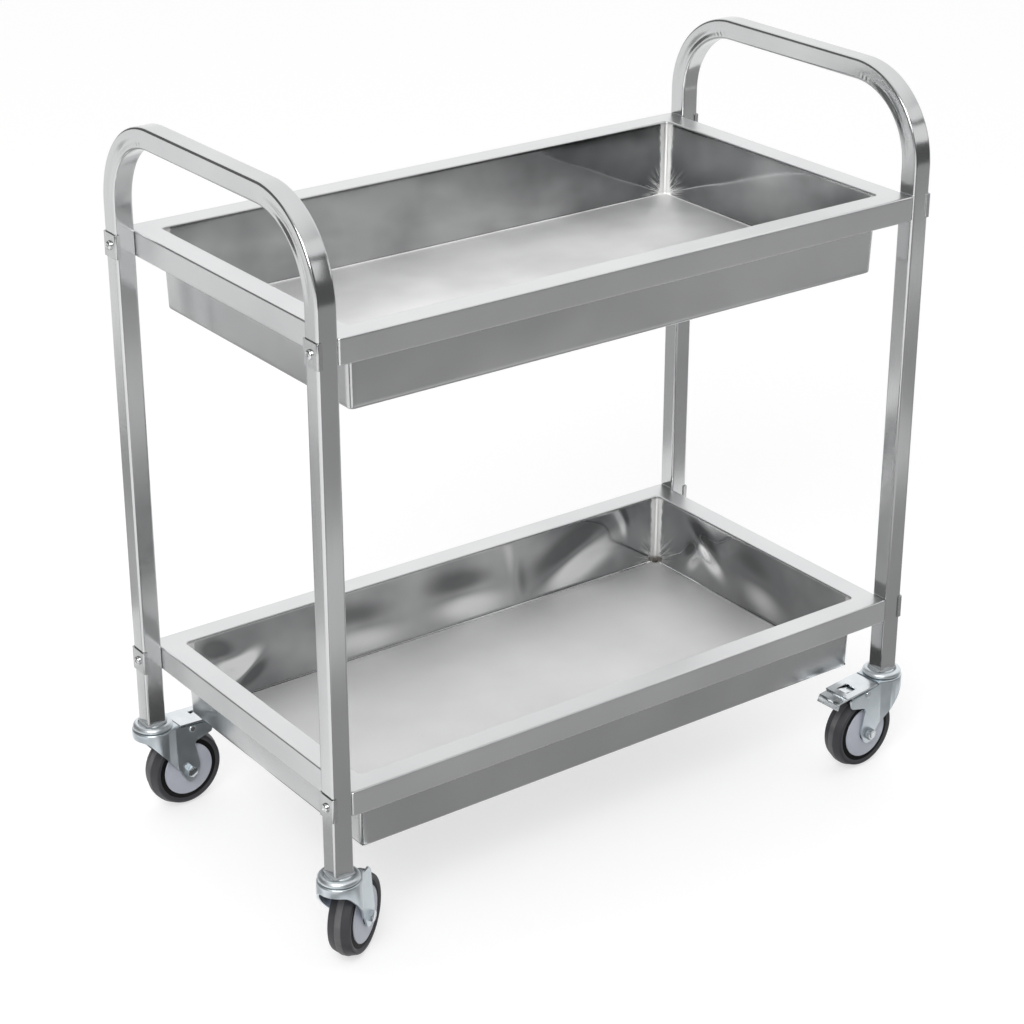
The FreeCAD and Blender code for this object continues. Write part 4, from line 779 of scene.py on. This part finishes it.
def tyre_grey():
    """Grey rubber, moulded: dark grey and matt, paler in patches on the crown of the tread, which it
    finds by the radius in the attribute laid."""
    material, tree, shader = new_material("moulded_grey_rubber")
    laid = add(tree, "Attribute", attribute_name="laid")
    split = add(tree, "SeparateXYZ", [(0, laid, "Vector")])
    place = add(tree, "TexCoord")
    peel = add(tree, "TexNoise", [("Vector", place, "Object")], Scale=1000 / 0.7, Detail=3.0)
    patch = add(tree, "TexNoise", [("Vector", place, "Object")], Scale=1000 / 18, Detail=4.0)
    rubber = add(tree, "Mix", [("Factor", patch, "Fac")], data_type="RGBA",
                 A=linear("#39393d"), B=linear("#49494e"))
    # the crown of the tread is paler, in patches
    tread = add(tree, "MapRange", [("Value", split, "Z")], From_Min=CROWN_LOW, From_Max=CROWN_HIGH)
    pale_crown = add(tree, "Math", [(0, tread, "Result"), (1, patch, "Fac")], operation="MULTIPLY")
    tread_colour = add(tree, "Mix", [("Factor", pale_crown, "Value"), ("A", rubber, "Result")], data_type="RGBA",
               B=linear("#878687"))
    rough = add(tree, "MapRange", [("Value", peel, "Fac")], To_Min=0.42, To_Max=0.62)
    relief = add(tree, "Bump", [("Height", peel, "Fac")], Strength=0.2, Distance=0.0002)
    join(tree, shader, [("Base Color", tread_colour, "Result"), ("Roughness", rough, "Result"),
                        ("Normal", relief, "Normal")])
    return material


# points of half a tyre's outline and of a disc's section, as (distance from the wheel's middle, radius)
TYRE_SIDE = [
    (0.0125, 0.0400), (0.0129, 0.0411), (0.0136, 0.0421), (0.0140, 0.0434), (0.0140, 0.0447),
    (0.0136, 0.0458), (0.0128, 0.0465), (0.0117, 0.0469), (0.0082, 0.0481), (0.0048, 0.0491),
    (0.0042, 0.0492), (0.0038, 0.0496), (0.0032, 0.0499), (0.0020, 0.0500), (0.0008, 0.0500),
    (0.0003, 0.0500),
]
DISC_FACE = [
    (0.0125, 0.0320), (0.0125, 0.0339), (0.0129, 0.0340), (0.0138, 0.0339), (0.0141, 0.0334),
    (0.0140, 0.0325), (0.0143, 0.0300), (0.0149, 0.0220), (0.0154, 0.0150), (0.0155, 0.0122),
    (0.0154, 0.0113), (0.0140, 0.0113), (0.0139, 0.0150), (0.0133, 0.0240),
]
rubber = tyre_grey()
disc_plastic = moulded("moulded_grey_polypropylene", "#dadde8", "#cccfdb", 0.32, 0.46, 1.0)
core_plastic = moulded("moulded_black_polypropylene", "#0c0c0d", "#070708", 0.50, 0.65, 1.0, 0.2)
half = eased(TYRE_SIDE, 4)
profile = np.concatenate([half, half[::-1] * (-1, 1)])
tyre_shell = carried_round(profile[:, :1], profile[:, 1:], ROUND)
tyre_faces = quads(*tyre_shell.shape[:2], (True, True))
tyre_laid = np.stack(np.broadcast_arrays(ROUND[None], profile[:, :1], profile[:, 1:]), axis=-1)
near = eased(DISC_FACE, 4, closed=True)
disc_shells = np.stack([carried_round(sign * near[:, :1], near[:, 1:], ROUND) for sign in (1, -1)])
rows, columns = disc_shells.shape[1:3]
disc_faces = np.concatenate([quads(rows, columns, (True, True), first) for first in (0, rows * columns)])
for place in CASTERS:
    axle, trail, across = axle_of(place)
    tyre = piece(f"{place}_rubber_tyre", set_out(tyre_shell, axle, across, trail), tyre_faces, rubber,
                 "grey_rubber", f"{place}_wheel")
    keep(tyre, "laid", tyre_laid)
    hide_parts(f"{place}_tyre")
    discs = piece(f"{place}_wheel_discs", set_out(disc_shells, axle, across, trail), disc_faces,
                  disc_plastic, "grey_polypropylene", f"{place}_wheel")
    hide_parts(f"{place}_wheel_covers")
    dress(f"{place}_wheel_core", core_plastic)


# Brakes: a pressed pedal that lies over the cheeks and swings on a rivet through them, with a hard
# plastic shoe between its flanges that comes down on the tread.
pale_zinc = zinc_plate("bright_zinc_pressing", "#eceff1", "#d5dbdf", 0.15, 0.26)
for place, (sx, sy, turned, braked) in CASTERS.items():
    if braked:
        dress(f"{place}_brake_pedal", pale_zinc, 0.0004)
        dress(f"{place}_brake_shoe", core_plastic, 0.0003)
        dress(f"{place}_brake_pin", zinc_bolt)


# Studio: white paper underneath, a wide soft light from behind on the right, a softbox over the viewer's
# left shoulder, and grey cloths, pale cards and white panels that glow with their shade and that only
# reflections see, so that the polished steel has something to mirror; the dark cloth under the cart is
# painted shadow, the cart's shade on the paper as the steel mirrors it.
def sheet_of(name, corners, material):
    """A flat four-cornered stage piece."""
    mesh = bpy.data.meshes.new(name)
    mesh.from_pydata(corners, [], [(0, 1, 2, 3)])
    mesh.materials.append(material)
    made = bpy.data.objects.new(name, mesh)
    bpy.context.scene.collection.objects.link(made)
    return made


def lying(height, *corners):
    """Corners of a sheet that lies level at that height."""
    return [(x, y, height) for x, y in corners]


def hung(start, end, low, high):
    """Corners of an upright sheet over the line from start to end, between two heights."""
    return [(*start, low), (*end, low), (*end, high), (*start, high)]


# the paper glows a little, so that it stays white to the eye and in the steel; the glow lights nothing
PAPER_REACH, PAPER_GLOW = 30.0, 0.62
paper, tree, shader = new_material("white_paper", Base_Color=linear("#b4b4b4"), Roughness=0.9,
                                   Specular_IOR_Level=0.1, Emission_Color=linear("#ffffff"))
rays = add(tree, "LightPath")
seen = add(tree, "Math", [(0, rays, "Is Camera Ray"), (1, rays, "Is Glossy Ray")], operation="MAXIMUM")
lit = add(tree, "Math", [(0, seen, "Value"), (1, rays, "Is Transmission Ray")], operation="MAXIMUM")
glow = add(tree, "Math", [(0, lit, "Value")], operation="MULTIPLY")
glow.inputs[1].default_value = PAPER_GLOW
join(tree, shader, [("Emission Strength", glow, "Value")])
square = [(x * PAPER_REACH, y * PAPER_REACH) for x, y in ((-1, -1), (1, -1), (1, 1), (-1, 1))]
sheet_of("floor", lying(0, *square), paper)

mirrored = {
    "low_cloth": ("#a2a2a2", lying(0.004, (-0.6, -0.22), (4.0, -0.22), (4.0, -3.0), (-0.6, -3.0))),
    "middle_card": ("#d8d8d8", lying(0.006, (-0.35, -0.84), (1.25, -0.84), (1.25, -1.25), (-0.35, -1.25))),
    "far_card": ("#e8e8e8", lying(0.006, (1.30, -1.48), (2.40, -1.48), (2.40, -1.69), (1.30, -1.69))),
    "right_card": ("#f4f4f4", lying(0.006, (0.40, -0.23), (0.60, -0.23), (0.60, -0.33), (0.40, -0.33))),
    "front_card": ("#f4f4f4", lying(0.006, (-0.47, -0.24), (-0.29, -0.24), (-0.29, -0.36), (-0.47, -0.36))),
    "foot_card": ("#bcbcbc", lying(0.006, (-0.43, -0.09), (-0.55, 0.10), (-0.65, 0.03), (-0.53, -0.16))),
    # painted shadow: a dark sheet under the cart that stands for the cart's shadow on the paper where the
    # steel mirrors it
    "painted_shadow_under_cart": ("#545454", lying(0.004, (-0.42, -0.11), (0.36, -0.11), (0.36, 0.16), (-0.42, 0.16))),
    "front_cloth": ("#5c5c5c", hung((-1.2, -3.0), (6.0, -3.0), 0.004, 5.0)),
    "high_panel": ("#ffffff", hung((-1.2, -2.99), (6.0, -2.99), 3.1, 5.0)),
    "near_panel": ("#ffffff", hung((0.2, -1.2), (2.0, -1.2), 1.02, 1.5)),
    "left_cloth": ("#6c6c6c", hung((-3.4, 0.6), (-0.8, 9.0), 0.1, 7.0)),
    "left_card": ("#d2d2d2", lying(0.004, (-0.50, -0.04), (-0.50, 0.37), (-1.60, 2.37), (-1.60, 1.64))),
    "left_strip": ("#a8a8a8", lying(0.006, (-0.86, 0.45), (-0.86, 1.10), (-1.24, 1.80), (-1.24, 1.02))),
    "back_card": ("#bcbcbc", lying(0.003, (0.05, 0.72), (0.05, 1.90), (-0.95, 1.90), (-0.95, 0.72))),
}
# each sheet glows with its shade and is seen only in reflections; the glow stands in for light off real
# cloths and cards
for name, (shade, corners) in mirrored.items():
    matt, tree, shader = new_material(f"matt_{name}", Base_Color=linear("#000000"), Roughness=1.0,
                                      Specular_IOR_Level=0.0, Emission_Color=linear(shade),
                                      Emission_Strength=1.0)
    sheet = sheet_of(name, corners, matt)
    sheet.visible_camera = sheet.visible_diffuse = sheet.visible_shadow = False

SOFTBOX_SIDE, SOFTBOX_WATTS = 1.6, 60.0
SOFTBOX_AT, SOFTBOX_AIM = (-1.9, -1.7, 2.6), (0.0, 0.0, 0.4)
softbox = bpy.data.lights.new("softbox", "AREA")
softbox.shape, softbox.size, softbox.energy = "SQUARE", SOFTBOX_SIDE, SOFTBOX_WATTS
lamp = bpy.data.objects.new("softbox", softbox)
lamp.location = SOFTBOX_AT
aim = np.subtract(SOFTBOX_AIM, SOFTBOX_AT)
lamp.rotation_euler = (math.acos(aim[2] / np.linalg.norm(aim)) - math.pi, 0.0, math.atan2(aim[0], -aim[1]))
bpy.context.scene.collection.objects.link(lamp)

BRIGHT_WAY = (0.47, 0.58, 0.66)
world = bpy.data.worlds.new("studio")
bpy.context.scene.world = world
world.use_nodes = True
tree = world.node_tree
tree.nodes.clear()
way = add(tree, "TexCoord")
facing = add(tree, "VectorMath", [(0, way, "Generated")], operation="DOT_PRODUCT")
facing.inputs[1].default_value = BRIGHT_WAY
level = add(tree, "MapRange", [("Value", facing, "Value")], interpolation_type="SMOOTHSTEP",
            From_Min=-0.1, From_Max=0.85, To_Min=0.30, To_Max=1.05)
sky = add(tree, "Background", [("Strength", level, "Result")], Color=linear("#ffffff"))
add(tree, "OutputWorld", [("Surface", sky, "Background")])

# the camera was fitted to the photo; sensor and focal length are in millimetres
VIEW_TURN, VIEW_RISE, VIEW_REACH = math.radians(-36.14), math.radians(24.55), 3.1
VIEW_TARGET = np.array([-0.0128, 0.0094, 0.3758])
SENSOR, FOCAL = 36.0, 89.61328125
level, rise = math.cos(VIEW_RISE), math.sin(VIEW_RISE)
lens = bpy.data.cameras.new("camera")
lens.sensor_width, lens.lens = SENSOR, FOCAL
camera = bpy.data.objects.new("camera", lens)
offset = np.array([math.sin(VIEW_TURN) * level, -math.cos(VIEW_TURN) * level, rise])
camera.location = VIEW_TARGET + offset * VIEW_REACH
camera.rotation_euler = (math.pi / 2 - VIEW_RISE, 0.0, VIEW_TURN)
bpy.context.scene.collection.objects.link(camera)
bpy.context.scene.camera = camera
bpy.context.scene.view_settings.view_transform = "Standard"
